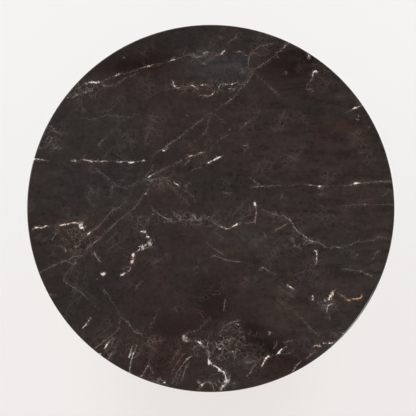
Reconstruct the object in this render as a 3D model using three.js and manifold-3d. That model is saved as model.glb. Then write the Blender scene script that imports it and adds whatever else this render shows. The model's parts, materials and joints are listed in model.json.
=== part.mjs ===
// A round pedestal table: a polished stone top on a plywood sub-top, carried by a steel column that one
// long tie rod clamps between a mounting plate and a cast-iron base weight under a spun metal cover.
// Millimetres, +Z up. The origin is on the floor, in the middle of the base.

import * as THREE from "three";
import { mergeVertices } from "three/addons/utils/BufferGeometryUtils.js";
import Module from "manifold-3d";

// ---- driving dimensions ----

const TABLE_HEIGHT = 740;
const TOP_RADIUS = 450;
const SLAB_THICKNESS = 20;
const SUB_TOP_RADIUS = 310;
const SUB_TOP_THICKNESS = 18;
const BOND_THICKNESS = 1.5;
const PLATE_RADIUS = 190;
const PLATE_THICKNESS = 6;
const COLUMN_RADIUS = 38;
const COLUMN_WALL = 2;
const COVER_RADIUS = 264;
const COVER_TOP = 150;
const COVER_WALL = 1.5;
const FLOOR_GAP = 12; // floor to the underside of the base weight
const WEIGHT_THICKNESS = 20;
const ROD_RADIUS = 6;
const SCREW_CIRCLE = 150;
const SCREW_COUNT = 6;
const LEVELLER_CIRCLE = 205;
const LEVELLER_COUNT = 4;
const GAP = 0.3; // clearance between pieces that nest in each other

// ---- heights that follow from them ----

const slabBottom = TABLE_HEIGHT - SLAB_THICKNESS;
const subTopTop = slabBottom - BOND_THICKNESS;
const subTopBottom = subTopTop - SUB_TOP_THICKNESS;
const plateBottom = subTopBottom - PLATE_THICKNESS;
const weightTop = FLOOR_GAP + WEIGHT_THICKNESS;
const hubTop = 100; // shoulder of the base hub, where the column stands
const pocketTop = 17; // ceiling of each leveller's pocket
const nutRecessTop = 30; // ceiling of the recess for the bottom nut

// ---- finishes ----

const finish = (color, roughness, metalness) =>
  new THREE.MeshStandardMaterial({ color, roughness, metalness });
const stone = finish(0x332c2a, 0.2, 0);
const plywood = finish(0xa88358, 0.7, 0);
const brass = finish(0xb08d57, 0.32, 1);
const blackSteel = finish(0x1d1d1e, 0.6, 0.2);
const castIron = finish(0x262627, 0.75, 0.3);
const zincSteel = finish(0xb4b7ba, 0.4, 1);
const nylon = finish(0x202022, 0.55, 0);
const rubber = finish(0x151515, 0.9, 0);
const silicone = finish(0xd8d8d2, 0.5, 0);

// ---- solid tools ----

const wasm = await Module();
wasm.setup();

function solidOf(geometry) {
  const bare = geometry.index ? geometry.toNonIndexed() : geometry.clone();
  bare.deleteAttribute("normal");
  bare.deleteAttribute("uv");
  const merged = mergeVertices(bare, 1e-3);
  const mesh = new wasm.Mesh({
    numProp: 3,
    vertProperties: merged.attributes.position.array,
    triVerts: new Uint32Array(merged.index.array),
  });
  return new wasm.Manifold(mesh);
}

function geometryOf(solid) {
  const mesh = solid.getMesh();
  const geometry = new THREE.BufferGeometry();
  geometry.setAttribute("position", new THREE.BufferAttribute(mesh.vertProperties, 3));
  geometry.setIndex(new THREE.BufferAttribute(mesh.triVerts, 1));
  geometry.computeVertexNormals();
  return geometry;
}

function cut(geometry, tools) {
  let left = solidOf(geometry);
  for (const tool of tools) left = left.subtract(solidOf(tool));
  return geometryOf(left);
}

// A turned solid about +Z. The outline is [radius, height] pairs in either direction: it starts and ends on
// the axis, or it closes on itself.
function turned(outline, segments) {
  const onAxis = outline[0][0] === 0 && outline[outline.length - 1][0] === 0;
  const points = onAxis ? [...outline] : [...outline, outline[0]];
  let area = 0;
  points.forEach(([r, z], i) => {
    const [nextR, nextZ] = points[(i + 1) % points.length];
    area += r * nextZ - nextR * z;
  });
  if (area < 0) points.reverse();
  const profile = points.map(([r, z]) => new THREE.Vector2(r, z));
  return new THREE.LatheGeometry(profile, segments).rotateX(Math.PI / 2);
}

const ring = (inner, outer, low, high, segments) =>
  turned([[inner, low], [outer, low], [outer, high], [inner, high]], segments);

const rod = (radius, low, high, segments) =>
  turned([[0, low], [radius, low], [radius, high], [0, high]], segments);

// A flat outline in X and Y, extruded up from a height.
function prism(shape, low, high, curveSegments) {
  const options = { depth: high - low, bevelEnabled: false, curveSegments };
  return new THREE.ExtrudeGeometry(shape, options).translate(0, 0, low);
}

function hexagon(acrossFlats) {
  const corner = acrossFlats / Math.sqrt(3);
  const shape = new THREE.Shape();
  for (let i = 0; i < 6; i++) {
    const angle = (i * Math.PI) / 3;
    const go = i ? "lineTo" : "moveTo";
    shape[go](corner * Math.cos(angle), corner * Math.sin(angle));
  }
  shape.closePath();
  return shape;
}

function nutGeometry(acrossFlats, holeRadius, low, high) {
  const shape = hexagon(acrossFlats);
  shape.holes.push(new THREE.Path().absarc(0, 0, holeRadius, 0, 2 * Math.PI, true));
  return prism(shape, low, high, 8);
}

const table = new THREE.Group();

function add(name, geometry, material, parent = table) {
  const mesh = new THREE.Mesh(geometry, material);
  mesh.name = name;
  parent.add(mesh);
  return mesh;
}

// Calls make(angle, number) for each place on a circle, the first one at a start angle.
function aroundCircle(count, startAngle, make) {
  for (let i = 0; i < count; i++) make(startAngle + (i * 2 * Math.PI) / count, i + 1);
}

const placed = (geometry, radius, angle) =>
  geometry.translate(radius * Math.cos(angle), radius * Math.sin(angle), 0);

// Points [radius, height] along part of an ellipse with its centre and its two half axes given, both ends
// included.
function arcPoints([centreR, centreZ], [halfR, halfZ], from, to, steps) {
  const points = [];
  for (let i = 0; i <= steps; i++) {
    const angle = from + ((to - from) * i) / steps;
    points.push([centreR + halfR * Math.cos(angle), centreZ + halfZ * Math.sin(angle)]);
  }
  return points;
}

// ---- stone top: a slab with a rounded upper edge and a small lower one ----

const UPPER_ROUND = 4;
const LOWER_ROUND = 3;

const lowerEdge = arcPoints(
  [TOP_RADIUS - LOWER_ROUND, slabBottom + LOWER_ROUND],
  [LOWER_ROUND, LOWER_ROUND],
  -Math.PI / 2,
  0,
  1,
);
const upperEdge = arcPoints(
  [TOP_RADIUS - UPPER_ROUND, TABLE_HEIGHT - UPPER_ROUND],
  [UPPER_ROUND, UPPER_ROUND],
  0,
  Math.PI / 2,
  3,
);
add("marble_top", turned([[0, slabBottom], ...lowerEdge, ...upperEdge, [0, TABLE_HEIGHT]], 60), stone);

// ---- plywood sub-top, bonded under the slab with silicone pads ----

const INSERT_RADIUS = 5;
const INSERT_LENGTH = 15;
const INSERT_FLANGE_RADIUS = 8;
const INSERT_FLANGE = 1.5;
const NUT_RELIEF = 26;
const SUB_TOP_CHAMFER = 8;
const startOfScrews = Math.PI / SCREW_COUNT;

const insertHoles = [];
aroundCircle(SCREW_COUNT, startOfScrews, (angle) => {
  const bore = rod(INSERT_RADIUS + GAP, subTopBottom - 1, subTopBottom + INSERT_LENGTH + GAP, 10);
  const seat = rod(INSERT_FLANGE_RADIUS + GAP, subTopBottom - 1, subTopBottom + INSERT_FLANGE + GAP, 10);
  insertHoles.push(placed(bore, SCREW_CIRCLE, angle), placed(seat, SCREW_CIRCLE, angle));
});

add(
  "sub_top",
  cut(
    turned(
      [
        [NUT_RELIEF, subTopBottom],
        [SUB_TOP_RADIUS - SUB_TOP_CHAMFER, subTopBottom],
        [SUB_TOP_RADIUS, subTopBottom + SUB_TOP_CHAMFER],
        [SUB_TOP_RADIUS, subTopTop],
        [NUT_RELIEF, subTopTop],
      ],
      40,
    ),
    insertHoles,
  ),
  plywood,
);

const BOND_PAD_RADIUS = 22;
const BOND_CIRCLE = 235;
aroundCircle(6, 0, (angle, n) => {
  add(`bond_pad_${n}`, placed(rod(BOND_PAD_RADIUS, subTopTop, slabBottom, 10), BOND_CIRCLE, angle), silicone);
});

// ---- threaded inserts, screws and washers that hold the mounting plate to the sub-top ----

const SCREW_RADIUS = 3; // M6
const SCREW_HOLE = 3.4;
const WASHER_RADIUS = 7;
const WASHER_THICKNESS = 1.6;
const HEAD_RADIUS = 5.5;
const HEAD_HEIGHT = 3.3;
const SOCKET_FLATS = 4;
const SOCKET_DEPTH = 2;

function insertGeometry() {
  return turned(
    [
      [SCREW_RADIUS + 0.2, subTopBottom],
      [INSERT_FLANGE_RADIUS, subTopBottom],
      [INSERT_FLANGE_RADIUS, subTopBottom + INSERT_FLANGE],
      [INSERT_RADIUS, subTopBottom + INSERT_FLANGE],
      [INSERT_RADIUS, subTopBottom + INSERT_LENGTH],
      [SCREW_RADIUS + 0.2, subTopBottom + INSERT_LENGTH],
    ],
    10,
  );
}

function screwGeometry() {
  const seat = plateBottom - WASHER_THICKNESS;
  const end = subTopBottom + INSERT_LENGTH - 2;
  const blank = turned(
    [
      [0, seat - HEAD_HEIGHT],
      [HEAD_RADIUS * 0.7, seat - HEAD_HEIGHT],
      [HEAD_RADIUS, seat - HEAD_HEIGHT * 0.4],
      [HEAD_RADIUS, seat],
      [SCREW_RADIUS, seat],
      [SCREW_RADIUS, end - 0.8],
      [SCREW_RADIUS - 0.8, end],
      [0, end],
    ],
    10,
  );
  const socket = prism(hexagon(SOCKET_FLATS), seat - HEAD_HEIGHT - 1, seat - HEAD_HEIGHT + SOCKET_DEPTH, 1);
  return cut(blank, [socket]);
}

aroundCircle(SCREW_COUNT, startOfScrews, (angle, n) => {
  const washer = ring(SCREW_HOLE, WASHER_RADIUS, plateBottom - WASHER_THICKNESS, plateBottom, 10);
  add(`insert_${n}`, placed(insertGeometry(), SCREW_CIRCLE, angle), zincSteel);
  add(`top_screw_${n}`, placed(screwGeometry(), SCREW_CIRCLE, angle), zincSteel);
  add(`top_screw_washer_${n}`, placed(washer, SCREW_CIRCLE, angle), zincSteel);
});

// ---- mounting plate, with the spigot under it that centres the column ----

const plateHoles = [];
aroundCircle(SCREW_COUNT, startOfScrews, (angle) => {
  plateHoles.push(placed(rod(SCREW_HOLE, plateBottom - 1, subTopBottom + 1, 12), SCREW_CIRCLE, angle));
});
add(
  "mounting_plate",
  cut(
    turned(
      [
        [ROD_RADIUS + 0.6, plateBottom],
        [PLATE_RADIUS - 1.5, plateBottom],
        [PLATE_RADIUS, plateBottom + 1.5],
        [PLATE_RADIUS, subTopBottom],
        [ROD_RADIUS + 0.6, subTopBottom],
      ],
      40,
    ),
    plateHoles,
  ),
  blackSteel,
);

const SPIGOT_WALL = 5;
const SPIGOT_LENGTH = 26;
const spigotRadius = COLUMN_RADIUS - COLUMN_WALL - 0.4;
add(
  "plate_spigot",
  ring(spigotRadius - SPIGOT_WALL, spigotRadius, plateBottom - SPIGOT_LENGTH, plateBottom, 32),
  blackSteel,
);

// ---- column ----

add("column", ring(COLUMN_RADIUS - COLUMN_WALL, COLUMN_RADIUS, hubTop, plateBottom, 32), brass);

// ---- collars that cover the column's two joints, each locked with a grub screw ----

const COLLAR_BORE = COLUMN_RADIUS + GAP;
const GRUB_RADIUS = 2.5;

// A grub screw lies along +X, just clear of the column.
function grubScrew(height, outerEnd) {
  const start = COLLAR_BORE + GAP;
  const blank = rod(GRUB_RADIUS, start, outerEnd, 12);
  const socket = prism(hexagon(2.5), outerEnd - 2, outerEnd + 1, 1);
  return cut(blank, [socket]).rotateY(Math.PI / 2).translate(0, 0, height);
}

const grubHole = (height, outerEnd) =>
  rod(GRUB_RADIUS + GAP, COLUMN_RADIUS - 3, outerEnd + 5, 12).rotateY(Math.PI / 2).translate(0, 0, height);

// The upper collar is a short neck that sweeps out in a quarter curve to the plate.
const UPPER_COLLAR_RADIUS = 84;
const UPPER_COLLAR_NECK = 43;
const UPPER_COLLAR_HEIGHT = 46;
const UPPER_COLLAR_WALL = 1.6;
const upperCollarBottom = plateBottom - UPPER_COLLAR_HEIGHT;
const upperNeckTop = upperCollarBottom + 14;

// One face of the sweep, a quarter ellipse about a centre level with the neck's top, below the outer edge.
function sweepFace(run, rise) {
  return arcPoints([UPPER_COLLAR_RADIUS, upperNeckTop], [run, rise], Math.PI, Math.PI / 2, 4);
}

const sweepRun = UPPER_COLLAR_RADIUS - UPPER_COLLAR_NECK;
const sweepRise = plateBottom - GAP - upperNeckTop;
const upperCollarBlank = turned(
  [
    [COLLAR_BORE, upperCollarBottom],
    [UPPER_COLLAR_NECK - 1.5, upperCollarBottom],
    [UPPER_COLLAR_NECK, upperCollarBottom + 1.5],
    ...sweepFace(sweepRun, sweepRise - UPPER_COLLAR_WALL),
    ...sweepFace(sweepRun + UPPER_COLLAR_WALL, sweepRise).reverse(),
    [COLLAR_BORE, upperNeckTop],
  ],
  32,
);
const upperGrubHeight = upperCollarBottom + 7;
add("upper_collar", cut(upperCollarBlank, [grubHole(upperGrubHeight, UPPER_COLLAR_NECK)]), brass);
add("upper_grub_screw", grubScrew(upperGrubHeight, UPPER_COLLAR_NECK - 0.5), zincSteel);

// The lower collar is a turned ring that stands on the neck of the base cover.
const LOWER_COLLAR_RADIUS = 49;
const lowerCollarBottom = COVER_TOP + GAP;
const lowerCollarBlank = turned(
  [
    [COLLAR_BORE, lowerCollarBottom],
    [LOWER_COLLAR_RADIUS - 2, lowerCollarBottom],
    [LOWER_COLLAR_RADIUS, lowerCollarBottom + 2],
    [LOWER_COLLAR_RADIUS, lowerCollarBottom + 9],
    [LOWER_COLLAR_RADIUS - 2, lowerCollarBottom + 11],
    [LOWER_COLLAR_RADIUS - 5, lowerCollarBottom + 12],
    [LOWER_COLLAR_RADIUS - 7, lowerCollarBottom + 17],
    [COLLAR_BORE, lowerCollarBottom + 18],
  ],
  32,
);
const lowerGrubHeight = lowerCollarBottom + 5.5;
add("lower_collar", cut(lowerCollarBlank, [grubHole(lowerGrubHeight, LOWER_COLLAR_RADIUS)]), brass);
add("lower_grub_screw", grubScrew(lowerGrubHeight, LOWER_COLLAR_RADIUS - 0.5), zincSteel);

// ---- base weight: a cast-iron disc with a hub, lightening pockets below and a pocket for each leveller ----

const WEIGHT_RADIUS = 255;
const HUB_RADIUS = 44;
const HUB_SPIGOT = 26;
const NUT_RECESS_RADIUS = 32;
const LEVELLER_POCKET_RADIUS = 23;
const BUSH_RADIUS = 7;
const POCKET_DEPTH = 9;
const POCKET_INNER = 62;
const POCKET_OUTER = 165;
const RIB_HALF_WIDTH = 7;
const RIB_COUNT = 6;
const startOfLevellers = Math.PI / 4;

// One pocket between two ribs: a sector of a ring whose sides stay parallel to the ribs.
function ribPocket() {
  const side = (radius) => Math.asin(RIB_HALF_WIDTH / radius);
  const half = Math.PI / RIB_COUNT;
  const shape = new THREE.Shape();
  shape.absarc(0, 0, POCKET_INNER, half - side(POCKET_INNER), -half + side(POCKET_INNER), true);
  shape.absarc(0, 0, POCKET_OUTER, -half + side(POCKET_OUTER), half - side(POCKET_OUTER), false);
  shape.closePath();
  return prism(shape, FLOOR_GAP - 1, FLOOR_GAP + POCKET_DEPTH, 4);
}

const weightTools = [];
for (let i = 0; i < RIB_COUNT; i++) {
  weightTools.push(ribPocket().rotateZ((i * 2 * Math.PI) / RIB_COUNT));
}
aroundCircle(LEVELLER_COUNT, startOfLevellers, (angle) => {
  const pocket = rod(LEVELLER_POCKET_RADIUS, FLOOR_GAP - 1, pocketTop, 16);
  const bore = rod(BUSH_RADIUS + GAP, FLOOR_GAP, weightTop + 1, 12);
  weightTools.push(placed(pocket, LEVELLER_CIRCLE, angle), placed(bore, LEVELLER_CIRCLE, angle));
});

add(
  "base_weight",
  cut(
    turned(
      [
        [ROD_RADIUS + 1, nutRecessTop],
        [NUT_RECESS_RADIUS, nutRecessTop],
        [NUT_RECESS_RADIUS, FLOOR_GAP],
        [WEIGHT_RADIUS - 3, FLOOR_GAP],
        [WEIGHT_RADIUS, FLOOR_GAP + 3],
        [WEIGHT_RADIUS, weightTop - 8],
        [WEIGHT_RADIUS - 8, weightTop - 1],
        [HUB_RADIUS + 14, weightTop],
        [HUB_RADIUS + 4, weightTop + 5],
        [HUB_RADIUS, weightTop + 16],
        [HUB_RADIUS, hubTop],
        [spigotRadius, hubTop],
        [spigotRadius, hubTop + HUB_SPIGOT - 2],
        [spigotRadius - 2, hubTop + HUB_SPIGOT],
        [ROD_RADIUS + 1, hubTop + HUB_SPIGOT],
      ],
      40,
    ),
    weightTools,
  ),
  castIron,
);

// ---- base cover: a spun shell with an upright rim, a round shoulder and a bell up to the column ----

const COVER_BOTTOM = 7;
const RIM_HEIGHT = 16;
const SHOULDER = 10;
const NECK_RADIUS = COLUMN_RADIUS + COVER_WALL + 0.7;
const bellStartR = COVER_RADIUS - SHOULDER;
const bellStartZ = COVER_BOTTOM + RIM_HEIGHT + SHOULDER;

// The bell's outline: a share of a straight cone plus a fourth-power sweep, from the shoulder to the neck.
function bellPoint(t) {
  const lift = 0.22 * t + 0.78 * Math.pow(t, 4);
  return [bellStartR + (NECK_RADIUS - bellStartR) * t, bellStartZ + (COVER_TOP - bellStartZ) * lift];
}

const shoulderCentre = [bellStartR, bellStartZ - SHOULDER];
const shoulder = arcPoints(shoulderCentre, [SHOULDER, SHOULDER], 0, Math.PI / 2 - 0.1, 2);
const coverOutside = [[COVER_RADIUS, COVER_BOTTOM], ...shoulder];
const BELL_STEPS = 8;
for (let i = 1; i <= BELL_STEPS; i++) coverOutside.push(bellPoint(i / BELL_STEPS));

// The inside follows the outside, one wall thickness in along the local normal.
function offsetInwards(points, distance) {
  return points.map(([r, z], i) => {
    const [beforeR, beforeZ] = points[Math.max(i - 1, 0)];
    const [afterR, afterZ] = points[Math.min(i + 1, points.length - 1)];
    const length = Math.hypot(afterR - beforeR, afterZ - beforeZ);
    return [r - ((afterZ - beforeZ) / length) * distance, z + ((afterR - beforeR) / length) * distance];
  });
}

const coverInside = offsetInwards(coverOutside, COVER_WALL);
coverInside[0][1] = COVER_BOTTOM;
coverInside[coverInside.length - 1] = [NECK_RADIUS - COVER_WALL, COVER_TOP];
add("base_cover", turned([...coverOutside, ...coverInside.reverse()], 48), brass);

// ---- rim strip: a channel pressed over the cover's lower edge ----

const STRIP_BOTTOM = 5;
const STRIP_TOP = 11;
add(
  "rim_strip",
  turned(
    [
      [COVER_RADIUS - COVER_WALL - 2.2, STRIP_BOTTOM],
      [COVER_RADIUS + 2, STRIP_BOTTOM],
      [COVER_RADIUS + 2, STRIP_TOP],
      [COVER_RADIUS + GAP, STRIP_TOP],
      [COVER_RADIUS + GAP, COVER_BOTTOM - GAP],
      [COVER_RADIUS - COVER_WALL - GAP, COVER_BOTTOM - GAP],
      [COVER_RADIUS - COVER_WALL - GAP, STRIP_TOP],
      [COVER_RADIUS - COVER_WALL - 2.2, STRIP_TOP],
    ],
    48,
  ),
  rubber,
);

// ---- tie rod with its washers and nuts ----

const NUT_FLATS = 18;
const NUT_HEIGHT = 10;
const NUT_BORE = ROD_RADIUS + 0.25;
const ROD_BOTTOM = 13;
const TOP_WASHER = 2.5;
const BOTTOM_WASHER = 3;
const SPRING_WASHER = 2.5;

const rodTop = subTopBottom + TOP_WASHER + NUT_HEIGHT + 3;
add(
  "tie_rod",
  turned(
    [
      [0, ROD_BOTTOM],
      [ROD_RADIUS - 1, ROD_BOTTOM],
      [ROD_RADIUS, ROD_BOTTOM + 1],
      [ROD_RADIUS, rodTop - 1],
      [ROD_RADIUS - 1, rodTop],
      [0, rodTop],
    ],
    16,
  ),
  zincSteel,
);
const topNutBottom = subTopBottom + TOP_WASHER;
add("top_washer", ring(ROD_RADIUS + 0.5, 12, subTopBottom, topNutBottom, 20), zincSteel);
add("top_nut", nutGeometry(NUT_FLATS, NUT_BORE, topNutBottom, topNutBottom + NUT_HEIGHT), zincSteel);

const bottomWasherLow = nutRecessTop - BOTTOM_WASHER;
const springLow = bottomWasherLow - SPRING_WASHER;
add("bottom_washer", ring(ROD_RADIUS + 0.5, 18, bottomWasherLow, nutRecessTop, 20), zincSteel);

// The spring washer is a ring with one narrow split.
const SPLIT_HALF_ANGLE = 0.12;
const springShape = new THREE.Shape();
springShape.absarc(0, 0, 10.5, SPLIT_HALF_ANGLE, 2 * Math.PI - SPLIT_HALF_ANGLE, false);
springShape.absarc(0, 0, ROD_RADIUS + 0.4, 2 * Math.PI - SPLIT_HALF_ANGLE, SPLIT_HALF_ANGLE, true);
springShape.closePath();
add("bottom_spring_washer", prism(springShape, springLow, bottomWasherLow, 9), zincSteel);
add("bottom_nut", nutGeometry(NUT_FLATS, NUT_BORE, springLow - NUT_HEIGHT, springLow), zincSteel);

// ---- levelling feet: a bush in the casting, a hexagon-headed stud, and a pad with a rubber sole ----

const STUD_RADIUS = 4.8; // M10
const BUSH_TOP = 29;
const BUSH_FLANGE_RADIUS = 11;
const BUSH_FLANGE = 1.5;
const STUD_TOP = 30;
const HEX_FLATS = 13;
const HEX_BOTTOM = 7.5;
const HEX_TOP = 11.2;
const PAD_RADIUS = 19;
const PAD_BOTTOM = 2;
const PAD_TOP = 7;

const bushOutline = [
  [STUD_RADIUS + GAP, pocketTop - BUSH_FLANGE],
  [BUSH_FLANGE_RADIUS, pocketTop - BUSH_FLANGE],
  [BUSH_FLANGE_RADIUS, pocketTop],
  [BUSH_RADIUS, pocketTop],
  [BUSH_RADIUS, BUSH_TOP],
  [STUD_RADIUS + GAP, BUSH_TOP],
];

const padOutline = [
  [0, PAD_BOTTOM],
  [PAD_RADIUS - 0.6, PAD_BOTTOM],
  [PAD_RADIUS, PAD_BOTTOM + 0.8],
  [PAD_RADIUS - 1, PAD_TOP - 2.6],
  [PAD_RADIUS - 8, PAD_TOP],
  [3.5, PAD_TOP],
  [3.5, PAD_TOP - 1.2],
  [4.7, PAD_TOP - 1.2],
  [4.7, PAD_BOTTOM + 1],
  [0, PAD_BOTTOM + 1],
];

// The stud's ball sits in the pad's socket, with a neck up to the hexagon and the threaded shank above it.
function studGeometry() {
  const ball = turned(
    [[0, 3.3], [3.2, 3.3], [4.3, 4.2], [4, 5.1], [3, 5.5], [3, HEX_BOTTOM + 0.5], [0, HEX_BOTTOM + 0.5]],
    10,
  );
  const hexagonHead = prism(hexagon(HEX_FLATS), HEX_BOTTOM, HEX_TOP, 1);
  const shank = turned(
    [
      [0, HEX_TOP - 0.5],
      [STUD_RADIUS, HEX_TOP - 0.5],
      [STUD_RADIUS, STUD_TOP - 1],
      [STUD_RADIUS - 1, STUD_TOP],
      [0, STUD_TOP],
    ],
    10,
  );
  return geometryOf(solidOf(hexagonHead).add(solidOf(ball)).add(solidOf(shank)));
}

aroundCircle(LEVELLER_COUNT, startOfLevellers, (angle, n) => {
  const sole = rod(PAD_RADIUS - 1, 0, PAD_BOTTOM, 16);
  add(`leveller_bush_${n}`, placed(turned(bushOutline, 10), LEVELLER_CIRCLE, angle), zincSteel);
  add(`leveller_stud_${n}`, placed(studGeometry(), LEVELLER_CIRCLE, angle), zincSteel);
  add(`leveller_pad_${n}`, placed(turned(padOutline, 16), LEVELLER_CIRCLE, angle), nylon);
  add(`leveller_sole_${n}`, placed(sole, LEVELLER_CIRCLE, angle), rubber);
});

export default table;
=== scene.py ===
# Round pedestal table: a polished marble top on a plywood sub-top, carried by a satin brass column and a spun
# base cover over a cast-iron weight, with four levelling feet.
import json
from math import pi, radians, sqrt, tan

import bpy
import numpy as np
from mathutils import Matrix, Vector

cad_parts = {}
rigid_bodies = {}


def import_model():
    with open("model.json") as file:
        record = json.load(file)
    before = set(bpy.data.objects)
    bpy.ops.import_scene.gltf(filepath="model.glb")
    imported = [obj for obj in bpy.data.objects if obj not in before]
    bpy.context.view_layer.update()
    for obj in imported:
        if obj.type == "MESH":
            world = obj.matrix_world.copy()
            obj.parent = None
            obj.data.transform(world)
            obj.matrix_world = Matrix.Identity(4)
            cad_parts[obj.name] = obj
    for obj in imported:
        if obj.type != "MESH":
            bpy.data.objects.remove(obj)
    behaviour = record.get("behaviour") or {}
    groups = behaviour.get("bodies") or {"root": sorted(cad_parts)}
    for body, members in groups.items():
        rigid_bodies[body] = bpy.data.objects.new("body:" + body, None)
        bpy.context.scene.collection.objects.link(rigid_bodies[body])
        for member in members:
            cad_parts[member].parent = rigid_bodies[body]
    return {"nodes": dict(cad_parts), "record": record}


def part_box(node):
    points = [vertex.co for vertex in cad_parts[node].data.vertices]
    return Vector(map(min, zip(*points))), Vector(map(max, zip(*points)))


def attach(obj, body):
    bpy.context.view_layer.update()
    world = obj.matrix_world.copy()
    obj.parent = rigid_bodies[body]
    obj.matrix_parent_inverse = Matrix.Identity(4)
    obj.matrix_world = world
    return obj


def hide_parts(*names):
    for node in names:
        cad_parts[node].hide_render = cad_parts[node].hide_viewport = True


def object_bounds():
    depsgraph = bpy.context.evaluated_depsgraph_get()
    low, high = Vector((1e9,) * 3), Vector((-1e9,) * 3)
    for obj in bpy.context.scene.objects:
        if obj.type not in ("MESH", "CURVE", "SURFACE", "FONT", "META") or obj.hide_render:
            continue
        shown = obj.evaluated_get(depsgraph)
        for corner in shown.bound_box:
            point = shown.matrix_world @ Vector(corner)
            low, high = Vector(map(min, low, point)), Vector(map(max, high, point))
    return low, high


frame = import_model()
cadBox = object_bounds()
cadNodes = frame["nodes"]
mm = 0.001


def inMillimetres(node):
    # A CAD node's box in millimetres: its lowest and its highest corner.
    low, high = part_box(node)
    return np.array(low) / mm, np.array(high) / mm


def middleOf(node):
    # The x and y of the middle of a CAD node's box.
    low, high = inMillimetres(node)
    return (low[:2] + high[:2]) / 2


def levelsOf(node):
    # A CAD node's lowest and highest level, and its reach along +X, which is the radius of a centred piece.
    low, high = inMillimetres(node)
    return low[2], high[2], high[0]


def colour(hexCode, alpha=1.0):
    # sRGB hex to linear: c / 12.92 up to 0.04045, and ((c + 0.055) / 1.055) ** 2.4 above it.
    parts = [int(hexCode[i : i + 2], 16) / 255 for i in (1, 3, 5)]
    linear = [c / 12.92 if c <= 0.04045 else ((c + 0.055) / 1.055) ** 2.4 for c in parts]
    return (*linear, alpha)


def feed(tree, node, inputs):
    # An input is a plain value, the socket that feeds it, or a node whose main output feeds it. A colour Mix
    # takes its share at input 0 and its colours at 6 and 7, and its main output is 2; any other node's is 0.
    for key, value in inputs.items():
        if isinstance(value, bpy.types.Node):
            value = value.outputs[2 if getattr(value, "data_type", "") == "RGBA" else 0]
        if isinstance(value, bpy.types.NodeSocket):
            tree.links.new(value, node.inputs[key])
        else:
            node.inputs[key].default_value = value


# The setting that a plain string stands for.
mainSetting = {
    "Math": "operation", "VectorMath": "operation", "Mix": "data_type", "MapRange": "interpolation_type",
    "TexVoronoi": "feature", "Attribute": "attribute_name",
}


def addNode(tree, kind, settings=None, inputs=None):
    # A shader node of this kind with its settings, its inputs fed.
    made = tree.nodes.new("ShaderNode" + kind)
    if isinstance(settings, str):
        settings = {mainSetting[kind]: settings}
    for key, value in (settings or {}).items():
        setattr(made, key, value)
    feed(tree, made, inputs or {})
    return made


def strongest(tree, values):
    # The largest of several values.
    best = values[0]
    for value in values[1:]:
        best = addNode(tree, "Math", "MAXIMUM", {0: best, 1: value})
    return best


def startMaterial(name):
    # An empty material with its surface shader and the place of each point on the piece.
    material = bpy.data.materials.new(name)
    material.use_nodes = True
    tree = material.node_tree
    tree.nodes.clear()
    surface = addNode(tree, "BsdfPrincipled")
    addNode(tree, "OutputMaterial", None, {"Surface": surface})
    place = addNode(tree, "TexCoord").outputs["Object"]
    return material, tree, surface, place


def addObject(name, data):
    # A new object in the scene.
    made = bpy.data.objects.new(name, data)
    bpy.context.scene.collection.objects.link(made)
    return made


def perMetre(millimetres):
    # The scale that makes one cell of a pattern this many millimetres wide.
    return 1000 / millimetres


def buildPiece(name, points, faces, material, sharpAngle=32):
    # A mesh from points in millimetres. Its signed volume, a third of the sum of each corner's place dotted
    # with its face's area, says whether the faces point outwards; if they don't, each is turned round.
    corners = np.array([face[:3] for face in faces])
    a, b, c = (points[corners[:, i]] for i in range(3))
    last = points[np.array([face[-1] for face in faces])]
    volume = np.einsum("ij,ij->", a, np.cross(b, c)) + np.einsum("ij,ij->", a, np.cross(c, last))
    if volume < 0:
        faces = [face[::-1] for face in faces]
    mesh = bpy.data.meshes.new(name)
    mesh.from_pydata(points * mm, [], faces)
    mesh.materials.append(material)
    mesh.shade_smooth()
    mesh.set_sharp_from_angle(angle=radians(sharpAngle))
    mesh.update()
    return addObject(name, mesh)


def bandFaces(rows, columns, closed):
    # Quads between neighbouring rows of a grid whose columns close into a ring.
    i = np.arange(rows if closed else rows - 1)[:, None]
    j = np.arange(columns)[None, :]
    nextI = (i + 1) % rows
    nextJ = (j + 1) % columns
    quads = np.stack(
        [i * columns + j, i * columns + nextJ, nextI * columns + nextJ, nextI * columns + j],
        axis=-1,
    )
    return quads.reshape(-1, 4).tolist()


def radialPiece(name, radius, height, angles, material, centre=(0, 0), sharpAngle=32):
    # x = cx + radius cos(angle), y = cy + radius sin(angle), z = height. radius and height hold one row for
    # each point of the outline and one column for each angle. An outline that starts on the axis gets a
    # single pole point there and at its end; any other outline closes on itself.
    rows, columns = radius.shape
    onAxis = radius[0].max() == 0
    if onAxis:
        poles = np.array([[*centre, height[0].mean()], [*centre, height[-1].mean()]])
        radius, height = radius[1:-1], height[1:-1]
        rows -= 2
    x = centre[0] + radius * np.cos(angles)
    y = centre[1] + radius * np.sin(angles)
    points = np.stack([x, y, height + 0 * x], axis=-1).reshape(-1, 3)
    faces = bandFaces(rows, columns, not onAxis)
    if onAxis:
        points = np.vstack([points, poles])
        j = np.arange(columns)
        nextJ = (j + 1) % columns
        first, last = rows * columns, rows * columns + 1
        end = (rows - 1) * columns
        faces += np.stack([nextJ, j, 0 * j + first], axis=-1).tolist()
        faces += np.stack([end + j, end + nextJ, 0 * j + last], axis=-1).tolist()
    return buildPiece(name, points, faces, material, sharpAngle)


def evenAngles(count):
    # So many angles, once round.
    return np.arange(count) * 2 * pi / count


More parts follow.
